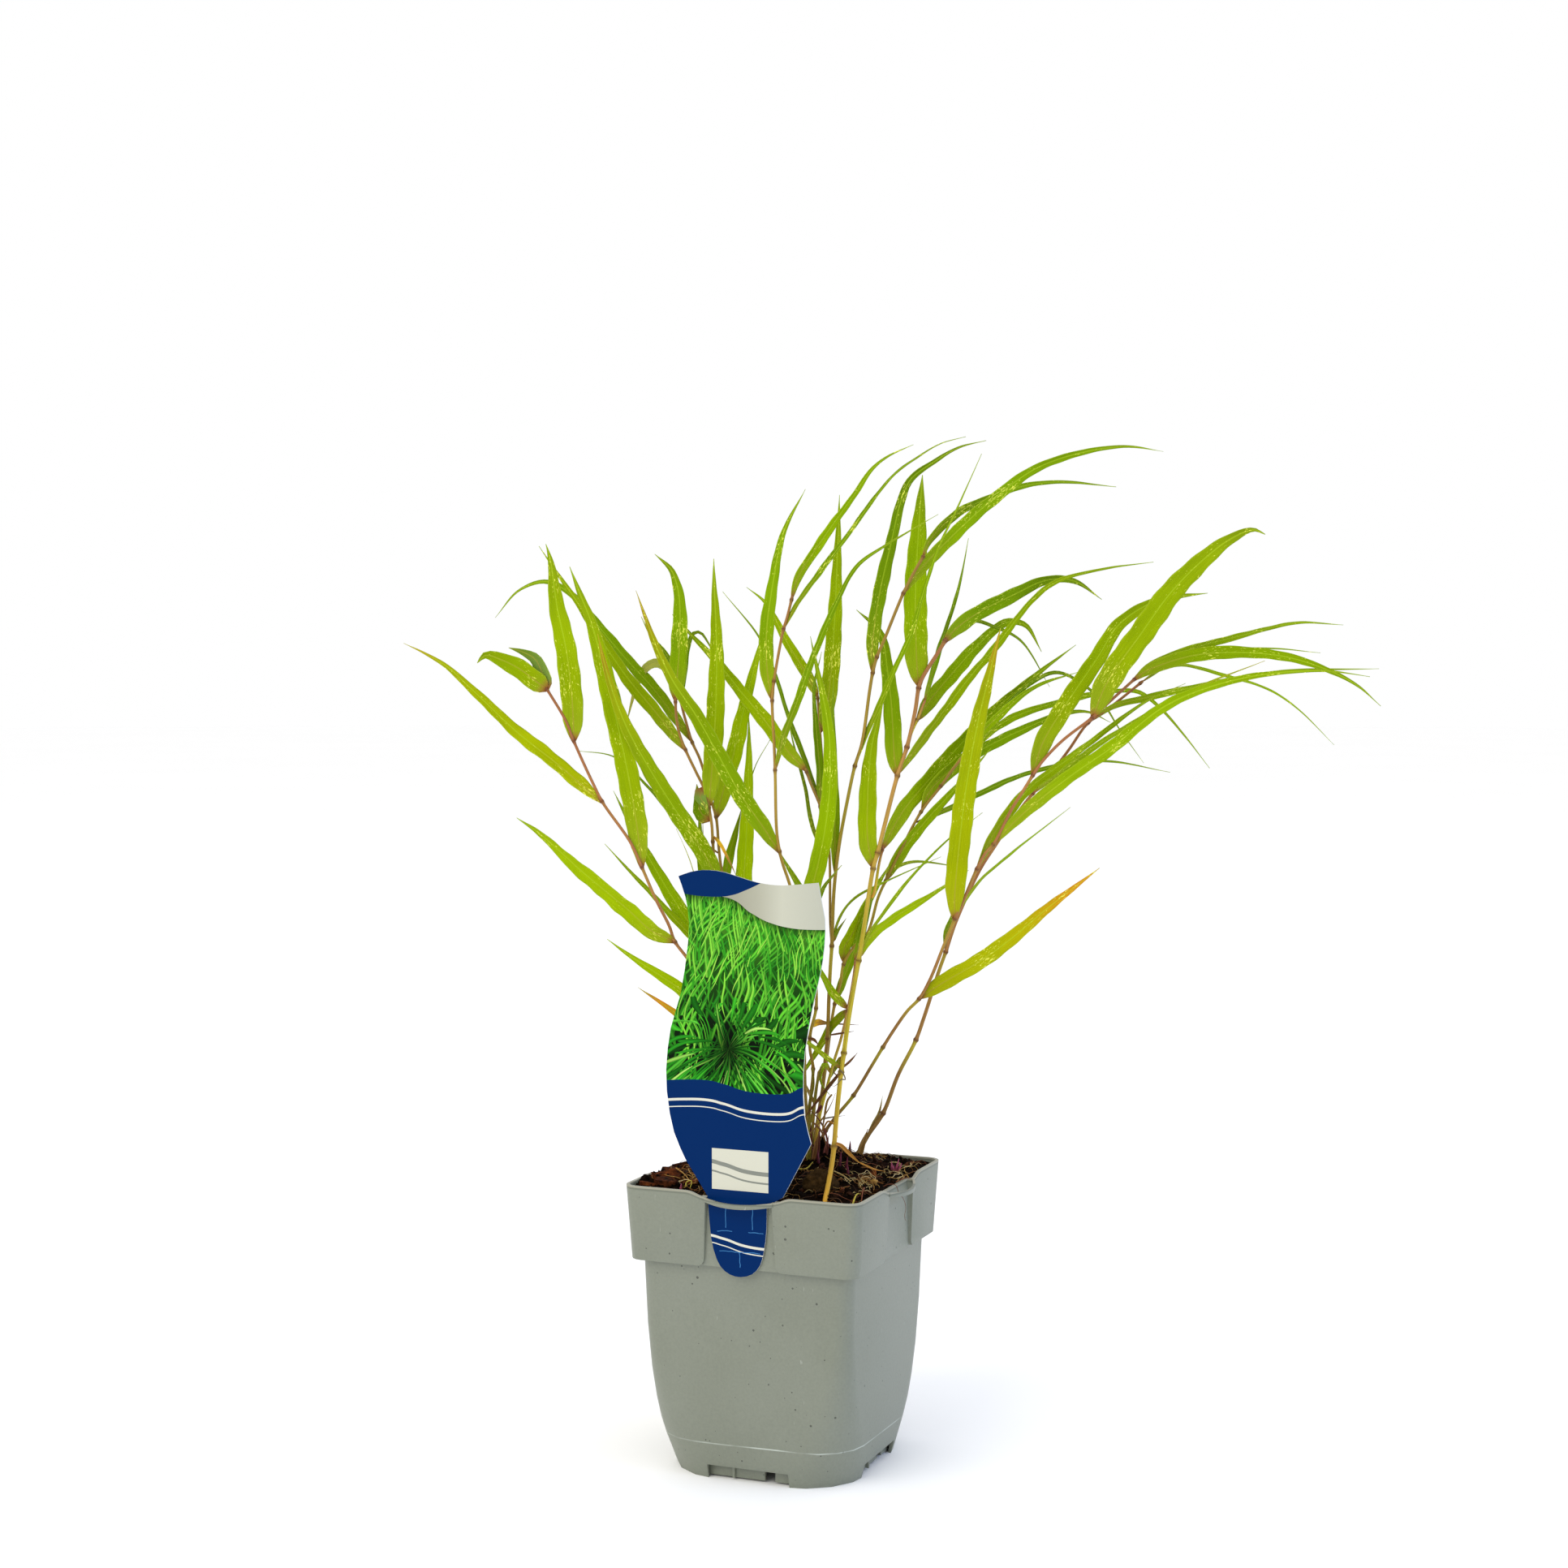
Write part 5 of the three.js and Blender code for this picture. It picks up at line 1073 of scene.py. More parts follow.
# %% Long stem that leans to the right
grow_stem("stem_right_outer", culms=[
    culm("russet", 1.6, 1.25, (14.5, 139, 16), (17.5, 146, 13, JOINT), (23, 153.5, 10),
         (30, 162, 8, JOINT), (38.5, 176, 5), (43, 183.5, 3, JOINT), (48, 191.5, 0),
         (54, 200, -3), (59.3, 205.5, -5, JOINT), (64, 214, -8), (70, 229, -12),
         (74.7, 240.5, -15, JOINT), (79, 250, -15), (84.5, 263, -16, JOINT), (88.5, 270.5, -17),
         (92, 274.3, -18, JOINT), (100, 290, -19), (105, 298, -20), (109, 304.5, -20, JOINT),
         (113, 310.5, -20), (122, 320, -21), (135.5, 330.5, -22, JOINT), (142, 336.5, -20),
         (153.5, 347, -15, JOINT)),
], leaves=[
    leaf("yellow", 9.2, 0, -45, (74.7, 241), (74.8, 250), (76.9, 275), (80.3, 303), (84.8, 328),
         (89.7, 349), (94.7, 370)),
    leaf("amber", 7.3, -15, -30, (59.8, 205.5), (70, 212.8), (85, 221.5), (100, 232.3),
         (115, 245), (139, 263.7)),
    leaf("lime", 8, 0, -10, (109, 305), (113.5, 319), (123, 335), (138, 357.5), (146.5, 371),
         (160, 380.5), (172, 383.7), (186, 385.3)),
    leaf("lime", 10.5, 0, -60, (135.5, 331), (142, 346), (156.5, 367), (171, 387), (188, 403.5),
         (197, 409.8), (206, 413.3), (211.1, 411.2)),
    leaf("lime", 4, 35, 25, (154.5, 347.5), (160, 353), (180, 361), (200, 366.3), (225, 372.2),
         (246, 371.3)),
    leaf("green", 6, -15, -25, (154.5, 347.5), (160, 351.5), (180, 358), (200, 359.3),
         (220, 357.5), (238, 352), (252, 345), (263, 335.5)),
    leaf("green", 6, -20, -50, (92.5, 274.8), (105, 288), (125, 304), (145, 318), (165, 334),
         (180, 341.5), (200, 347.5), (220, 350.5), (240, 351), (258, 348.5)),
    leaf("lime", 5, 30, -11, (84.7, 263.3), (93, 280), (107, 298), (127, 313.5), (147, 329),
         (160, 338), (176.5, 345.5)),
    leaf("green", 1.7, 40, 25, (76, 245), (86, 258), (100, 270.3), (126, 290.7)),
])

# %% Long stem behind it
grow_stem("stem_right_rear", culms=[
    culm("russet", 2.0, 1.15, (31.8, 134, 20), (36.2, 143.5, 18), (43.2, 154, 16, JOINT),
         (50, 171.5, 14), (57.6, 186.5, 12, JOINT), (61.5, 197.5, 11), (68, 218, 7),
         (71, 226.5, 5, JOINT), (75.5, 240, 3), (86, 263, 1), (92, 272.5, 0), (101, 286, -1),
         (109, 296.5, -2, JOINT), (117, 305.5, -3), (125, 316, -4), (133.5, 328, -5, JOINT),
         (142, 334, -5), (157, 346, -5, JOINT)),
], leaves=[
    leaf("green", 2, 40, 5, (157, 346.3), (170, 354.5), (185, 359), (213, 361), (236, 359)),
    leaf("green", 1.8, 40, 30, (157, 346), (165, 351.5), (175, 353.6), (195, 348.7), (213, 343),
         (226, 334.5), (242.5, 318.3)),
    leaf("green", 3.5, 35, -20, (134.5, 329.5), (145, 335.5), (160, 339.3), (190, 345.7),
         (220, 350.8), (262, 352)),
    leaf("amber_tip", 3, 35, -35, (109, 297), (120, 305), (140, 319.7), (160, 332), (180, 343),
         (211.5, 355.5)),
    leaf("deep", 3, 35, 10, (70.8, 226.5), (71, 234), (74, 242), (78, 255), (82, 283)),
    leaf("straw", 1.8, 20, 16, (36.4, 144.2), (38.8, 149), (41.5, 154.5), (43, 161.8)),
])

# %% Dead stem with a bent stub of sheath
grow_stem("dead_culm", culms=[
    culm("umber", 1.6, 1.3, (11.5, 139, 12), (12, 150, 12), (13.5, 165, 12), (14.5, 172, 12)),
], leaves=[
    leaf("straw", 1.6, 30, 14, (12.8, 158), (9, 166), (6.5, 172)),
], slot="dead_straw")

# %% [markdown]
# ## The soil
#
# Potting mix is milled peat with bark, fibres and old roots. Its surface is uneven at every
# size, from a hand's press down to single crumbs. A merged copy of the CAD soil keeps its
# walls and the room of the slots. Its top is divided finely and pushed up and down with
# noise. It rises by a few millimetres against the left and the back wall, where the pot was
# filled last, and then the loose matter is strewn on it piece by piece.

# %% Crumbly matter
def crumbly(name, pattern, stops, relief_pattern, strength, depth, **shader):
    """A matt finish: each piece's own tint times a ramp over noise, and a relief of noise."""
    finish, add, shade = material(name, **shader)
    where = add("TexCoord").outputs["Object"]
    noises = [add("TexNoise", {"Vector": where, **one}) for one in (pattern, relief_pattern)]
    tint = add("Attribute", attribute_name="tint").outputs["Color"]
    tone = add("ValToRGB", [noises[0]], stops)
    shade({"Base Color": add("Mix", {0: 1.0, 6: tint, 7: tone}, data_type="RGBA",
                             blend_type="MULTIPLY"),
           "Normal": add("Bump", {"Height": noises[1], "Strength": strength,
                                  "Distance": depth})})
    return finish


# %% Milled peat
# Moist peat is nearly black-brown, with lighter fibres; it scatters light and has no gloss.
peat_finish = crumbly(
    "milled_peat", {"Scale": 260.0, "Detail": 4.0, "Roughness": 0.65},
    [(0.25, "#4a4038"), (0.5, "#8d7a6a"), (0.62, "#b59a80"), (0.8, "#ffe2bd")],
    {"Scale": 1200.0, "Detail": 3.0}, 0.8, 0.0005, IOR=1.4, Roughness=0.92,
    Specular_IOR_Level=0.05)

# %% Ground
SOIL_TOP = 0.118  # metres: all that lies higher is the open top of the soil
ABOVE_SOIL = 0.16  # metres: from there a ray looks down for the ground
PEAT = [srgb(code) for code in ("#231911", "#2c1f14", "#17110b", "#1d150d", "#54381f")]

shape = merged_copy("soil")
tint_layer = shape.verts.layers.float_color.new("tint")
top_edges = {edge for face in shape.faces for edge in face.edges
             if face.normal.z > 0.5 and face.calc_center_median().z > SOIL_TOP}
bmesh.ops.subdivide_edges(shape, edges=list(top_edges), cuts=7, use_grid_fill=True)
for vert in shape.verts:
    vert[tint_layer] = PEAT[0]
    if vert.co.z < SOIL_TOP:
        continue
    lump = noise.noise(vert.co * 95) * 1.5 + noise.noise(vert.co * 260) * 1.1
    grit = noise.noise(vert.co * 700) * 0.7
    at_left = max(0, 1 - (vert.co.x / MM + 52) / 13) * min(1, max(0, (8 - vert.co.y / MM) / 20))
    at_back = max(0, 1 - (52 - vert.co.y / MM) / 12) * min(1, max(0, (46 - vert.co.x / MM) / 20))
    at_front = max(0, (-38 - vert.co.y / MM) / 12)
    bank = 2.4 * at_left ** 0.7 + 1.9 * at_back ** 0.7 - 1.6 * min(1, at_front)
    vert.co.z += (lump + grit + bank - 0.3) * MM
ground_tree = BVHTree.FromBMesh(shape)
finished(shape, "soil_ground", "potting_soil", peat_finish, replaces=["soil"])


def ground(x, y, lift=0.0):
    """The place lift mm above the soil at a point in mm, or None outside the soil."""
    start = Vector((x * MM, y * MM, ABOVE_SOIL))
    hit = ground_tree.ray_cast(start, Vector((0, 0, -1)))[0]
    return hit + Vector((0, 0, lift * MM)) if hit and hit.z > SOIL_TOP else None


# %% [markdown]
# The crumbs are small rough lumps. Each starts as an icosphere of twenty faces, is pushed out
# of shape and flattened, and lands on the ground half sunk. Most are about a millimetre
# across, a few are clods of half a centimetre, and one big olive clod lies by the stout stem.

# %% Crumbs
strewer = random.Random(23)


def strewn(reach=52.5, lift=0.0):
    """A random place on the soil, lifted by some mm."""
    while True:
        at = ground(strewer.uniform(-reach, reach), strewer.uniform(-reach, reach), lift)
        if at:
            return at


def random_seed():
    """Where a piece reads the noise, so that no two are alike."""
    return Vector((strewer.random(), strewer.random(), strewer.random())) * 50


def random_turn():
    """A turn about any axis, as a matrix."""
    turn = Quaternion((strewer.gauss(0, 1), strewer.gauss(0, 1), strewer.gauss(0, 1), 1))
    return turn.normalized().to_matrix().to_4x4()


def crumb(shape, at, size, colour, detail=1):
    """A rough, flattened lump of a size in mm."""
    lump = bmesh.ops.create_icosphere(shape, subdivisions=detail, radius=size / 2 * MM)
    seed = random_seed()
    flat = Matrix.Diagonal((1, strewer.uniform(0.6, 1), strewer.uniform(0.45, 0.9), 1))
    for vert in lump["verts"]:
        broad = noise.noise(vert.co * 1500 / size + seed)
        fine = noise.noise(vert.co * 900 + seed)
        vert.co *= 1 + 0.35 * broad + min(0.35, 0.7 / size) * fine
        vert[shape.verts.layers.float_color["tint"]] = colour
    where_to = Matrix.Translation(at) @ random_turn() @ flat
    bmesh.ops.transform(shape, matrix=where_to, verts=lump["verts"])


shape = new_shape()
for _ in range(3200):
    size = min(strewer.lognormvariate(-0.1, 0.5), 3.4)
    crumb(shape, strewn(lift=0.15 * size), size, strewer.choice(PEAT))
for x, y, size in ((-6, 33, 6), (36, 30, 5), (-34, 12, 6), (41, -31, 4.5), (12, 12, 7),
                   (22, -9, 5)):
    crumb(shape, ground(x, y, 0.12 * size), size, PEAT[0], detail=3)
CLOD_RADII = (0.0078, 0.0075, 0.0085)  # metres
clod = bmesh.ops.create_icosphere(shape, subdivisions=5, radius=1)
for vert in clod["verts"]:
    rough = 0.25 * noise.noise(vert.co * 1.3) + 0.16 * noise.noise(vert.co * 4)
    rough += 0.08 * noise.noise(vert.co * 11)
    vert.co *= 1 + rough
    vert[shape.verts.layers.float_color["tint"]] = srgb("#685a3c")
lie_down = Matrix.Translation(ground(28.5, -29.5, 1.4))
bmesh.ops.transform(shape, matrix=lie_down @ Matrix.Diagonal((*CLOD_RADII, 1)),
                    verts=clod["verts"])
finished(shape, "soil_crumbs", "potting_soil", peat_finish)

# %% [markdown]
# Pine bark breaks into flat, layered chips. Each is a box that is divided, bent by noise and
# thinned towards its ends, and it lies on the peat at a slant. The large ones at the left
# corner stand above the rim.

# %% Pine bark
# Old bark is matt, with dark layers; light edges show where the chips broke.
LAYERS = {"Scale": 330.0, "Detail": 5.0, "Roughness": 0.7}
bark_finish = crumbly(
    "composted_pine_bark", LAYERS, [(0.35, "#2c221e"), (0.5, "#a08878"), (0.7, "#ffe6d2")],
    LAYERS, 0.7, 0.0006, IOR=1.45, Roughness=0.8, Specular_IOR_Level=0.08)

# %% Bark chips
BARK = [srgb(code) for code in ("#74431f", "#5c361e", "#86522a", "#4a2e1c", "#38261a")]


def bark_chip(shape, at, size, colour, turn, cuts=3):
    """A chip of size (length, breadth, thickness) in mm, turned by three angles."""
    before = len(shape.verts)
    chip = bmesh.ops.create_cube(shape, size=1)
    bmesh.ops.scale(shape, vec=Vector(size) * MM, verts=chip["verts"])
    edges = {edge for vert in chip["verts"] for edge in vert.link_edges}
    bmesh.ops.subdivide_edges(shape, edges=list(edges), cuts=cuts, use_grid_fill=True)
    verts = list(shape.verts)[before:]
    seed = random_seed()
    for vert in verts:
        rough = noise.noise_vector(vert.co * 200 + seed)
        ridge = noise.noise(Vector((vert.co.x * 90, vert.co.y * 700, vert.co.z * 700)) + seed)
        taper = 1 - 0.5 * abs(vert.co.x / (size[0] * MM)) ** 1.5
        vert.co.y *= taper
        vert.co.z *= taper
        vert.co += Vector((rough.x * 1.2, rough.y * 0.8, rough.z * 0.7 + ridge * 0.8)) * MM
        vert[shape.verts.layers.float_color["tint"]] = colour
    turned = [Matrix.Rotation(math.radians(a), 4, axis) for a, axis in zip(turn, "ZYX")]
    where_to = Matrix.Translation(at) @ turned[0] @ turned[1] @ turned[2]
    bmesh.ops.transform(shape, matrix=where_to, verts=verts)


shape = new_shape()
for _ in range(80):
    size = (strewer.uniform(2.5, 7), strewer.uniform(1, 3), strewer.uniform(0.5, 1.4))
    turn = (strewer.uniform(0, 360), strewer.gauss(0, 22), strewer.gauss(0, 22))
    bark_chip(shape, strewn(50, 0.3), size, strewer.choice(BARK), turn)
for x, y, lift, size, turn, kind in (
    (-44.5, -31, -1.3, (13, 8, 4.0), (35, -8, 22), 0),
    (-44, -27, 0.0, (10, 5, 1.4), (46, -8, 14), 2),
    (-36, -19, -0.8, (12, 6, 2.4), (-15, 8, -14), 3),
    (-48, -14, -0.9, (12, 6, 2.2), (70, 6, 12), 1),
    (-49, -27, -0.2, (10, 5, 2.0), (80, 6, 16), 3),
    (-41, -39, 0.2, (10, 5, 2.0), (5, 5, 12), 1),
    (-31, -35, 0.6, (9, 4, 1.6), (-20, -12, 8), 2),
    (-48, -42, 0.3, (8, 4, 1.6), (30, 8, -10), 0),
    (-26, 2, 0.8, (9, 4, 2.0), (40, 10, 15), 3),
    (38, 26, 0.8, (9, 5, 1.8), (25, 8, -18), 4),
):
    bark_chip(shape, ground(x, y, lift), size, BARK[kind], turn, cuts=7)
finished(shape, "bark_chips", "potting_soil", bark_finish)

# %% [markdown]
# Old roots and fibres lie on the peat in loose curls. Each is a thin tube along a wandering
# line that follows the ground.

# %% Fibrous matter
def fibrous(name, scale, dark, light, **shader):
    """A finish of the piece's own tint with bands across it."""
    finish, add, shade = material(name, IOR=1.45, **shader)
    along = add("Attribute", attribute_name="along").outputs["Vector"]
    bands = add("TexNoise", {"Vector": along, "Scale": scale, "Detail": 2.0})
    shade({"Base Color": own_tint(add, add("MapRange", (bands, 0.3, 0.7, dark, light)))})
    return finish


# %% Dried roots
# Dry roots are dull and woody, mottled every few millimetres.
root_finish = fibrous("dried_root", 0.6, 0.6, 1.3, Roughness=0.7, Specular_IOR_Level=0.12)
ROOTS = {"tan": "#a07c40", "brown": "#80542a", "dark": "#4a3220", "pale": "#b8a068",
         "red": "#70402a", "yellow": "#b0a040", "bright": "#dcc690"}
COMMON = ("tan", "brown", "brown", "dark", "dark", "pale", "red")
TANGLED = ("tan", "tan", "brown", "pale", "bright", "bright")
OVER_RIM = 0.1255  # metres: where a root that hangs over the rim is measured from
ROOT_SIDES = 6
ROOT_STEP = 0.8  # mm


def root(shape, places, thickness, colour):
    """A root through places (x, y, lift above the ground or the rim), all in mm."""
    tint = Vector(srgb(ROOTS[colour]))
    points = []
    for x, y, lift in places:
        under = ground(x, y) or Vector((x * MM, y * MM, OVER_RIM))
        points.append(under + Vector((0, 0, (lift + thickness / 2) * MM)))
    line, _ = smooth_line(points, ROOT_STEP * MM)
    draw_tube(shape, line, ROOT_SIDES, lambda share: thickness / 2 * (1 - 0.55 * share),
              lambda share: tint)


def wandering_root(shape, x, y, length, thickness, curl, colour):
    """A root that turns a little every 2.5 mm, on the soil."""
    heading = strewer.uniform(0, 2 * math.pi)
    places = [(x, y, 0.1)]
    rise = strewer.uniform(0.3, 1.2)
    for _ in range(max(3, round(length / 2.5))):
        heading += strewer.gauss(0, curl)
        x, y = x + 2.5 * math.cos(heading), y + 2.5 * math.sin(heading)
        if abs(x) > 52 or abs(y) > 52 or not ground(x, y):
            break
        places.append((x, y, abs(strewer.gauss(rise, 0.7))))
    if len(places) > 2:
        root(shape, places, thickness, colour)


def curled_root(shape, x, y, reach, rise, colour):
    """A root that curls up from the ground within reach mm of a place."""
    start, sweep = strewer.uniform(0, 2 * math.pi), strewer.uniform(2, 5)
    places = []
    for k in range(7):
        angle, away = start + sweep * k / 6, reach * strewer.uniform(0.45, 1)
        places.append((x + away * math.cos(angle), y + away * math.sin(angle),
                       0.2 + rise * math.sin(math.pi * k / 6)))
    root(shape, places, strewer.uniform(0.22, 0.36), colour)


shape = new_shape()
for _ in range(230):
    at = strewn(50) / MM
    wandering_root(shape, at.x, at.y, strewer.uniform(6, 22), strewer.uniform(0.18, 0.45),
                   strewer.uniform(0.3, 1.0), strewer.choice(COMMON))
for _ in range(260):
    at = strewn(51) / MM
    wandering_root(shape, at.x, at.y, 7.5, strewer.uniform(0.14, 0.3), 0.3,
                   strewer.choice(COMMON))
# tangles
for x, y, count in ((42, -10, 8), (43, -15, 8), (40, -4, 3), (38, -16, 3), (47, -23, 2),
                    (47, 9, 4), (49, 13, 4), (-33, -32, 3), (-31, -37, 3)):
    for _ in range(count):
        curled_root(shape, x + strewer.gauss(0, 1.3), y + strewer.gauss(0, 1.3),
                    strewer.uniform(2, 5), strewer.uniform(0.8, 3.4), strewer.choice(TANGLED))
# single roots and sticks
for colour, thickness, places in (
    ("yellow", 0.9, ((48.5, -45.3, 0.3), (47.1, -36.6, 0.8), (46, -27.7, 0.4))),
    ("red", 0.9, ((44, -18.3, 0.6), (47.6, -30, 0.9), (50.8, -40.6, 0.4))),
    ("pale", 0.6, ((43.4, -32.6, 0.3), (43, -29.6, 1.6), (43.8, -27.7, 0.3))),
    ("pale", 0.9, ((25, -6.1, 0.6), (30.9, -10.6, 0.9), (37.1, -15.8, 0.5))),
    ("brown", 0.5, ((33.1, 5.8, 0.5), (37.2, 7.4, 1.8), (42.8, 0.4, 0.4))),
    ("pale", 0.5, ((36.6, 32.4, 0.5), (38.7, 27, 1.2), (40.7, 20.9, 0.6))),
    ("pale", 0.7, ((44.5, 40.8, 0.5), (47.5, 32, 1.5), (46.2, 27, 0.9), (48.1, 22.9, 0.5))),
    ("yellow", 0.8, ((9.1, -7.7, 0.4), (13.1, -9, 1.2), (13.7, -1.7, 0.5))),
    ("yellow", 0.7, ((-30, -42.4, 0.3), (-30.3, -40.6, 2.2), (-28.3, -40, 2.6),
                     (-27.9, -42.6, 0.4))),
    ("tan", 0.7, ((-41.6, -27.9, 3.2), (-36.9, -29.6, 2.6), (-31.1, -35.5, 0.8))),
    ("tan", 0.5, ((-37, -24, 3.0), (-33, -30, 2.2), (-29, -31, 0.8))),
    ("red", 0.5, ((50.9, 2, 0.8), (54.1, 5.9, 2.2), (57.5, 4, 2.6))),
    ("brown", 0.4, ((51.7, 6.2, 0.8), (51, 16, 1.4), (51.2, 26, 0.8))),
    ("brown", 0.4, ((51.4, 25.5, 0.8), (51, 33, 1.2), (51.9, 39.7, 0.8))),
    ("red", 0.3, ((49.5, -11, 0.5), (53, -11, 2.8), (55.6, -10.5, 2.4), (56.2, -8.5, -1),
                  (56.8, -3, -5.5), (57, -1.2, -9.4), (56.8, -2.2, -13), (57.2, -1, -15.5))),
):
    root(shape, places, thickness, colour)
crumb(shape, ground(44.6, -7.6, 1.6), 3.4, srgb(ROOTS["tan"]), detail=3)
finished(shape, "dried_roots", "potting_soil", root_finish)

# %% [markdown]
# New shoots push through the peat as purple-red spears. Each is a tube that narrows to a
# point.

# %% New shoots
# The skin of a shoot is smooth and moist, with soft bands.
shoot_finish = fibrous("fresh_grass_shoot", 0.5, 0.7, 1.25, Roughness=0.4,
                       Specular_IOR_Level=0.2)
SHOOT = {"red": ("#3a141a", "#6c2234"), "pink": ("#6e2438", "#a04e68")}


def shoot(shape, x, y, height, lean, colour):
    """A spear that rises height mm above the soil and starts 2 mm under it."""
    foot = ground(x, y) - Vector((0, 0, 2 * MM))
    tip = foot + Vector((*lean, height + 2)) * MM
    middle = foot.lerp(tip, 0.5) + Vector((*lean, 0)) * 0.1 * MM
    line, _ = smooth_line([foot, middle, tip], 0.6 * MM)
    low, high = (Vector(srgb(code)) for code in SHOOT[colour])

    def radius(share):
        return 0.8 * (1 - share) ** 0.6 * (0.8 + 0.35 * math.sin(share * 3))

    draw_tube(shape, line, 8, radius, lambda share: low.lerp(high, share))


shape = new_shape()
for x, y, height, lean, colour in (
    (25, 0.8, 6.5, (0.8, 0.4), "red"), (30.6, -1.9, 6, (-0.8, 0.2), "red"),
    (15.8, -0.2, 6, (-0.6, 0), "red"), (9.7, 3.4, 5, (0.5, 0), "red"),
    (27, 2.5, 5, (1.4, 0), "red"), (20, 27, 5, (0, 1), "red"), (3, 20, 6, (-1, 1), "red"),
    (43.7, 20.2, 6, (2.2, 1), "pink"), (43.2, 20, 4.5, (-0.6, 0.4), "pink"),
    (44.4, 20.4, 4, (3.0, 0.2), "pink"), (43.6, 19.6, 3.4, (0.6, -0.8), "pink"),
    (-33, -41.5, 2.5, (0.5, 0), "pink"),
):
    shoot(shape, x, y, height, lean, colour)
finished(shape, "new_shoots", "grass", shoot_finish)

# %% [markdown]
# Each stem comes out of a few brown, papery scales, and dead leaves lie among them. A scale
# is a blade that is folded deeply round the stem's foot.

# %% Papery straw
# Dead leaves are thin and dull, with fibres along them.
straw_finish, add, shade = material("papery_dead_leaf", IOR=1.45, Roughness=0.7,
                                    Specular_IOR_Level=0.12)
fibres = drawn_out(add, attributes(add)[0], 3.0, 0.1, 3.0)
shade({"Base Color": own_tint(add, add("MapRange", (fibres, 0.25, 0.75, 0.6, 1.3)))})

# %% Dead leaves and scales
STRAW = {"gold": "#b88238", "tan": "#9c7a44", "brown": "#7c5632", "grey": "#85785c",
         "olive": "#8e8230", "plum": "#713f36"}
SCALE_FOOT = 133  # mm up the board, just under the soil


def dead_blade(shape, points, breadth, fold, colour):
    """A dry blade through points of the board, folded by a share of its breadth."""
    line, _ = smooth_line([place(*point) for point in points], 1.0 * MM)
    ways = directions(line)
    tint = srgb(STRAW[colour])

    def put(step, side):
        t = step / (len(line) - 1)
        sideways = ways[step].cross(FRONT).normalized()
        facing = sideways.cross(ways[step])
        width = breadth * max(0.08, math.sin(math.pi * min(1, 0.25 + 0.8 * t)))
        lift = fold * (abs(side) ** 1.5 - 0.5)
        return (line[step] + (sideways * side / 2 + facing * lift) * width * MM,
                side * width / 2, tint)

    draw_grid(shape, line, 6, put)


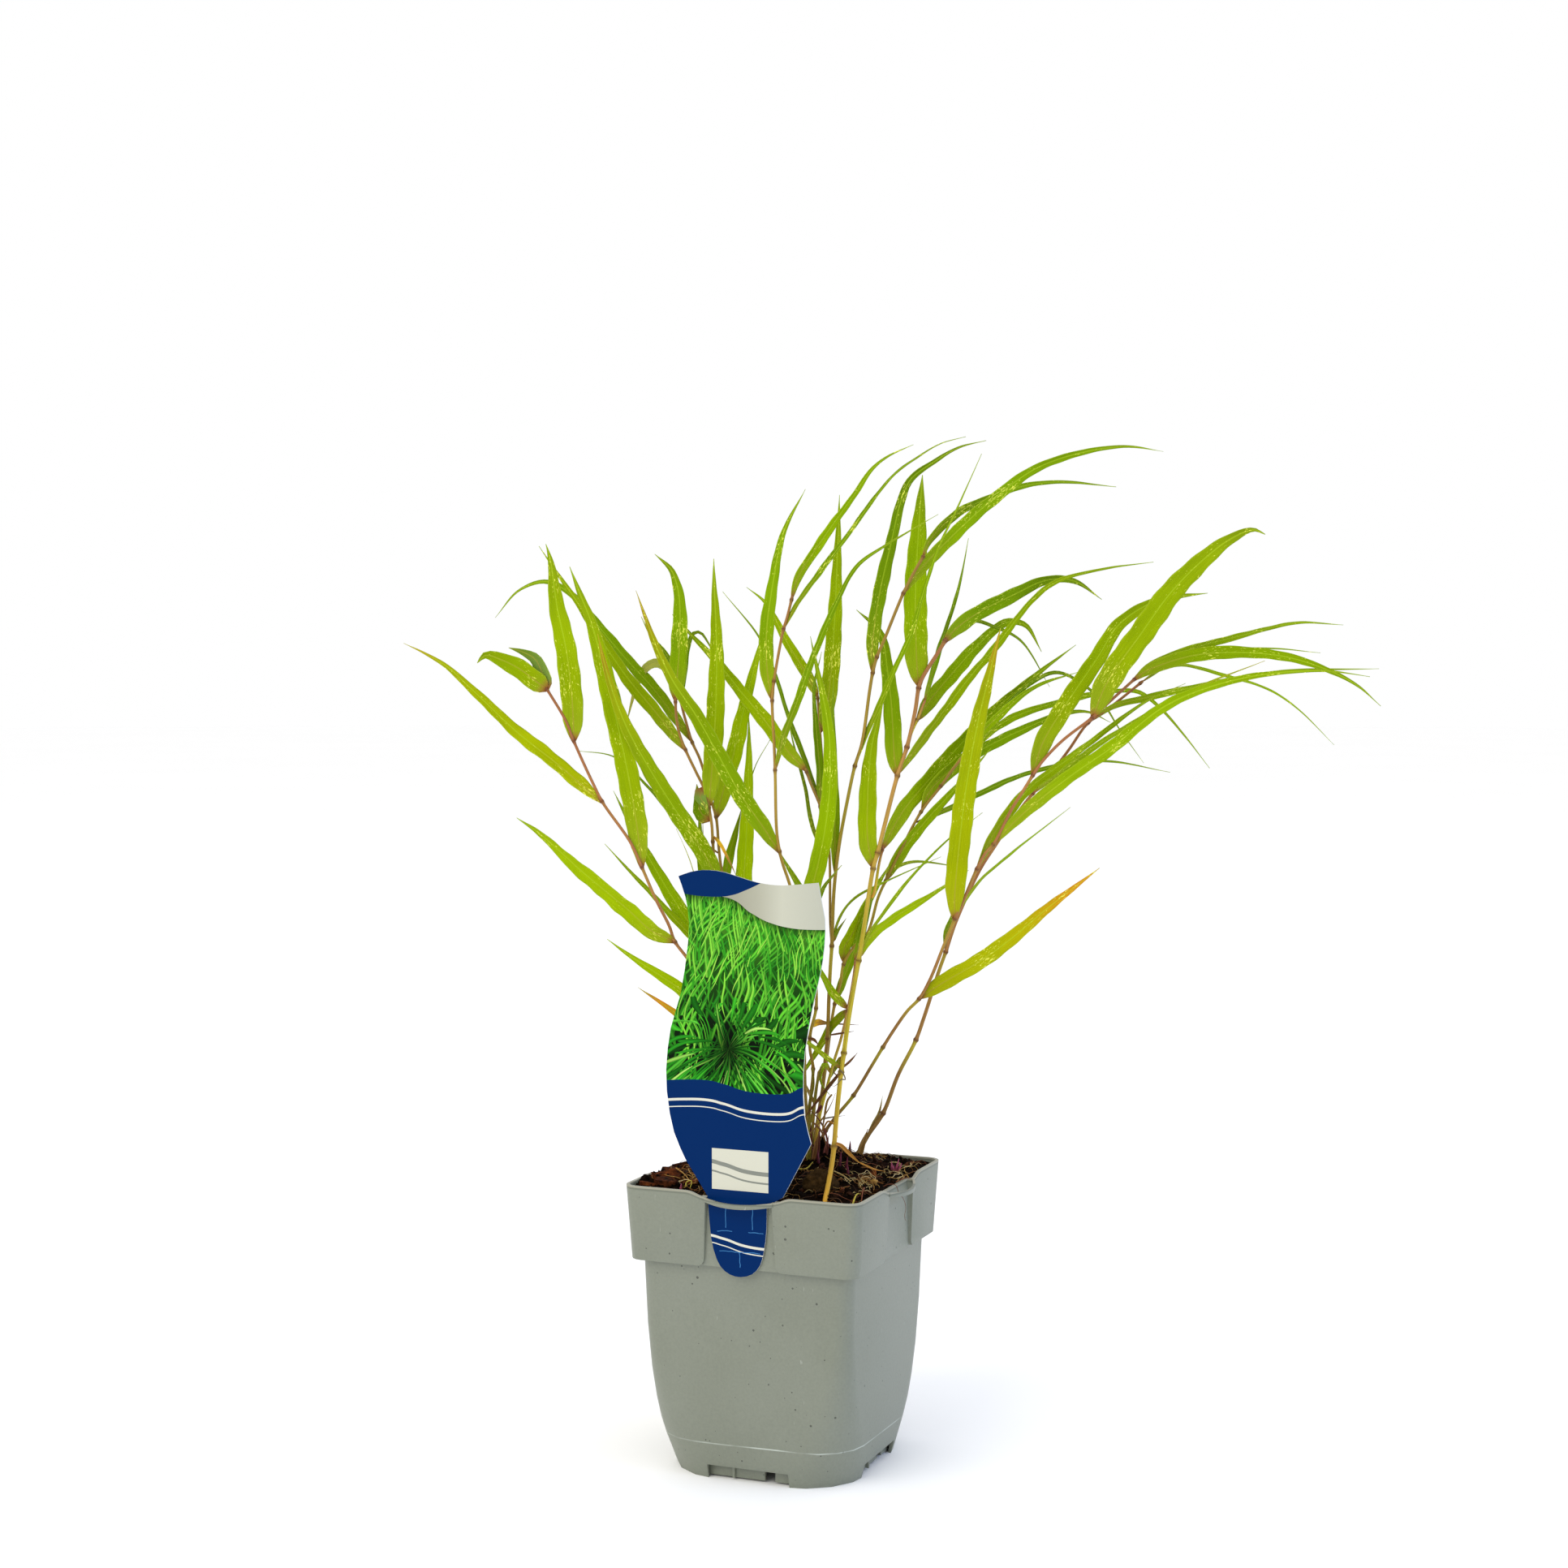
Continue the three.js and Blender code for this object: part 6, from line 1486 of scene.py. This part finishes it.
shape = new_shape()
for breadth, fold, colour, points in (
    (1.7, 0.3, "gold", ((22.3, 140.5, -33), (24.5, 139.6, -31), (27.5, 136.6, -28),
                        (31.6, 132.7, -25), (34.5, 130.6, -23))),
    (0.7, 0.2, "gold", ((33, 131.8, -24), (38, 129.4, -20), (41.5, 128.3, -16),
                        (44.4, 127.9, -13))),
    (0.8, 0.3, "brown", ((19.8, 189.2, -3), (24.9, 190, -8), (30.1, 190.8, -14))),
    (0.6, 0.2, "brown", ((18.5, 194.4, 9), (25, 194, 10), (32.3, 193.6, 10))),
    (1.4, 0.4, "brown", ((10.5, 187.5, -3), (12.5, 187, -5), (14.5, 184.5, -5))),
    (1.0, 0.3, "brown", ((25.6, 174.9, -23), (28.5, 177.5, -24), (31.7, 181.1, -25))),
    (0.5, 0.2, "grey", ((23.7, 173.9, -25), (25.6, 171.6, -27), (26.3, 169, -27),
                        (24.6, 169.3, -26), (22.7, 167, -26), (21.1, 166.1, -25),
                        (19.9, 166.7, -24))),
    (0.45, 0.2, "brown", ((24.3, 171.6, -26), (22.7, 171, -26), (21.1, 172.9, -26),
                          (21.7, 174.9, -26), (24, 175.5, -25))),
    (0.6, 0.2, "grey", ((15.6, 151.4, -6), (21.1, 152.4, -12), (26.3, 153, -16))),
    (1.5, 0.4, "brown", ((24, 172.3, -24), (19.2, 166.4, -18), (14.6, 160.5, -12),
                         (10.1, 154.7, -8), (6, 149, -5))),
    (1.2, 0.4, "olive", ((15.6, 174.9, -6), (13.7, 167, -6), (12.4, 157.9, -6),
                         (10.4, 147.5, -6), (9.5, 141, -6))),
    (1.3, 0.4, "olive", ((11.7, 174.2, -4), (12, 167, -4), (10.4, 157.9, -5), (9.8, 147.5, -5),
                         (9, 140, -5))),
    (0.9, 0.3, "tan", ((20.4, 162.5, -14), (18.5, 159.9, -13), (16.9, 151.4, -10),
                       (15.5, 142, -8))),
    (1.6, 0.4, "plum", ((15.8, 157.6, -8), (14.5, 155.4, -8), (12.7, 153.6, -7))),
    (0.8, 0.3, "brown", ((12, 150, -12), (15, 147, -14), (17, 143, -14), (18, 138, -12))),
    (0.8, 0.3, "plum", ((19, 139, -10), (17, 147, -9), (14, 152, -9), (10, 156, -9))),
    (0.7, 0.3, "gold", ((16, 146, -10), (19, 150.5, -14), (22, 148, -16), (23, 143, -16))),
    (0.6, 0.3, "tan", ((9, 143, -8), (15, 150, -10), (19.5, 157, -11), (22, 163, -12))),
):
    dead_blade(shape, points, breadth, fold, colour)
for u, v, height, breadth, lean, colour in (
    (6, -9, 14, 2, -2, "brown"), (7, 5, 16, 2.2, -1.5, "tan"), (9, 13, 15, 2, -1, "brown"),
    (10, -5, 17, 2.2, 0, "olive"), (10.5, 4, 18, 2.2, 0.5, "plum"), (14, 9, 16, 2, 1, "brown"),
    (13, 19, 14, 2, 1, "tan"), (13.5, -3, 15, 2, 1.5, "plum"), (15, 15, 13, 2.2, 2, "brown"),
    (32, 19, 14, 2.8, 4.5, "tan"), (11.5, 11, 18, 2, 0, "olive"), (17, 2, 11, 2, 2, "plum"),
    (8, -2, 20, 1.8, -1, "plum"), (12, -7, 12, 2, 2.5, "brown"),
):
    foot, top = (u, SCALE_FOOT, v - 1), (u + lean, SCALE_FOOT + height, v - 1)
    middle = (u + lean * 0.45, SCALE_FOOT + height * 0.5, v - 2)
    dead_blade(shape, (foot, middle, top), breadth, 0.45, colour)
shape.transform(TO_POT)
litter = finished(shape, "crown_scales", "dead_straw", straw_finish)
thicken(litter, 0.2)

# %% [markdown]
# ## Size
#
# The dressed plant stays in the CAD model's box, apart from a few millimetres. The two boxes
# are written down so that they can be compared.

# %% Finish
for lines in (cad_box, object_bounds()):
    print([[round(value, 4) for value in corner] for corner in lines])
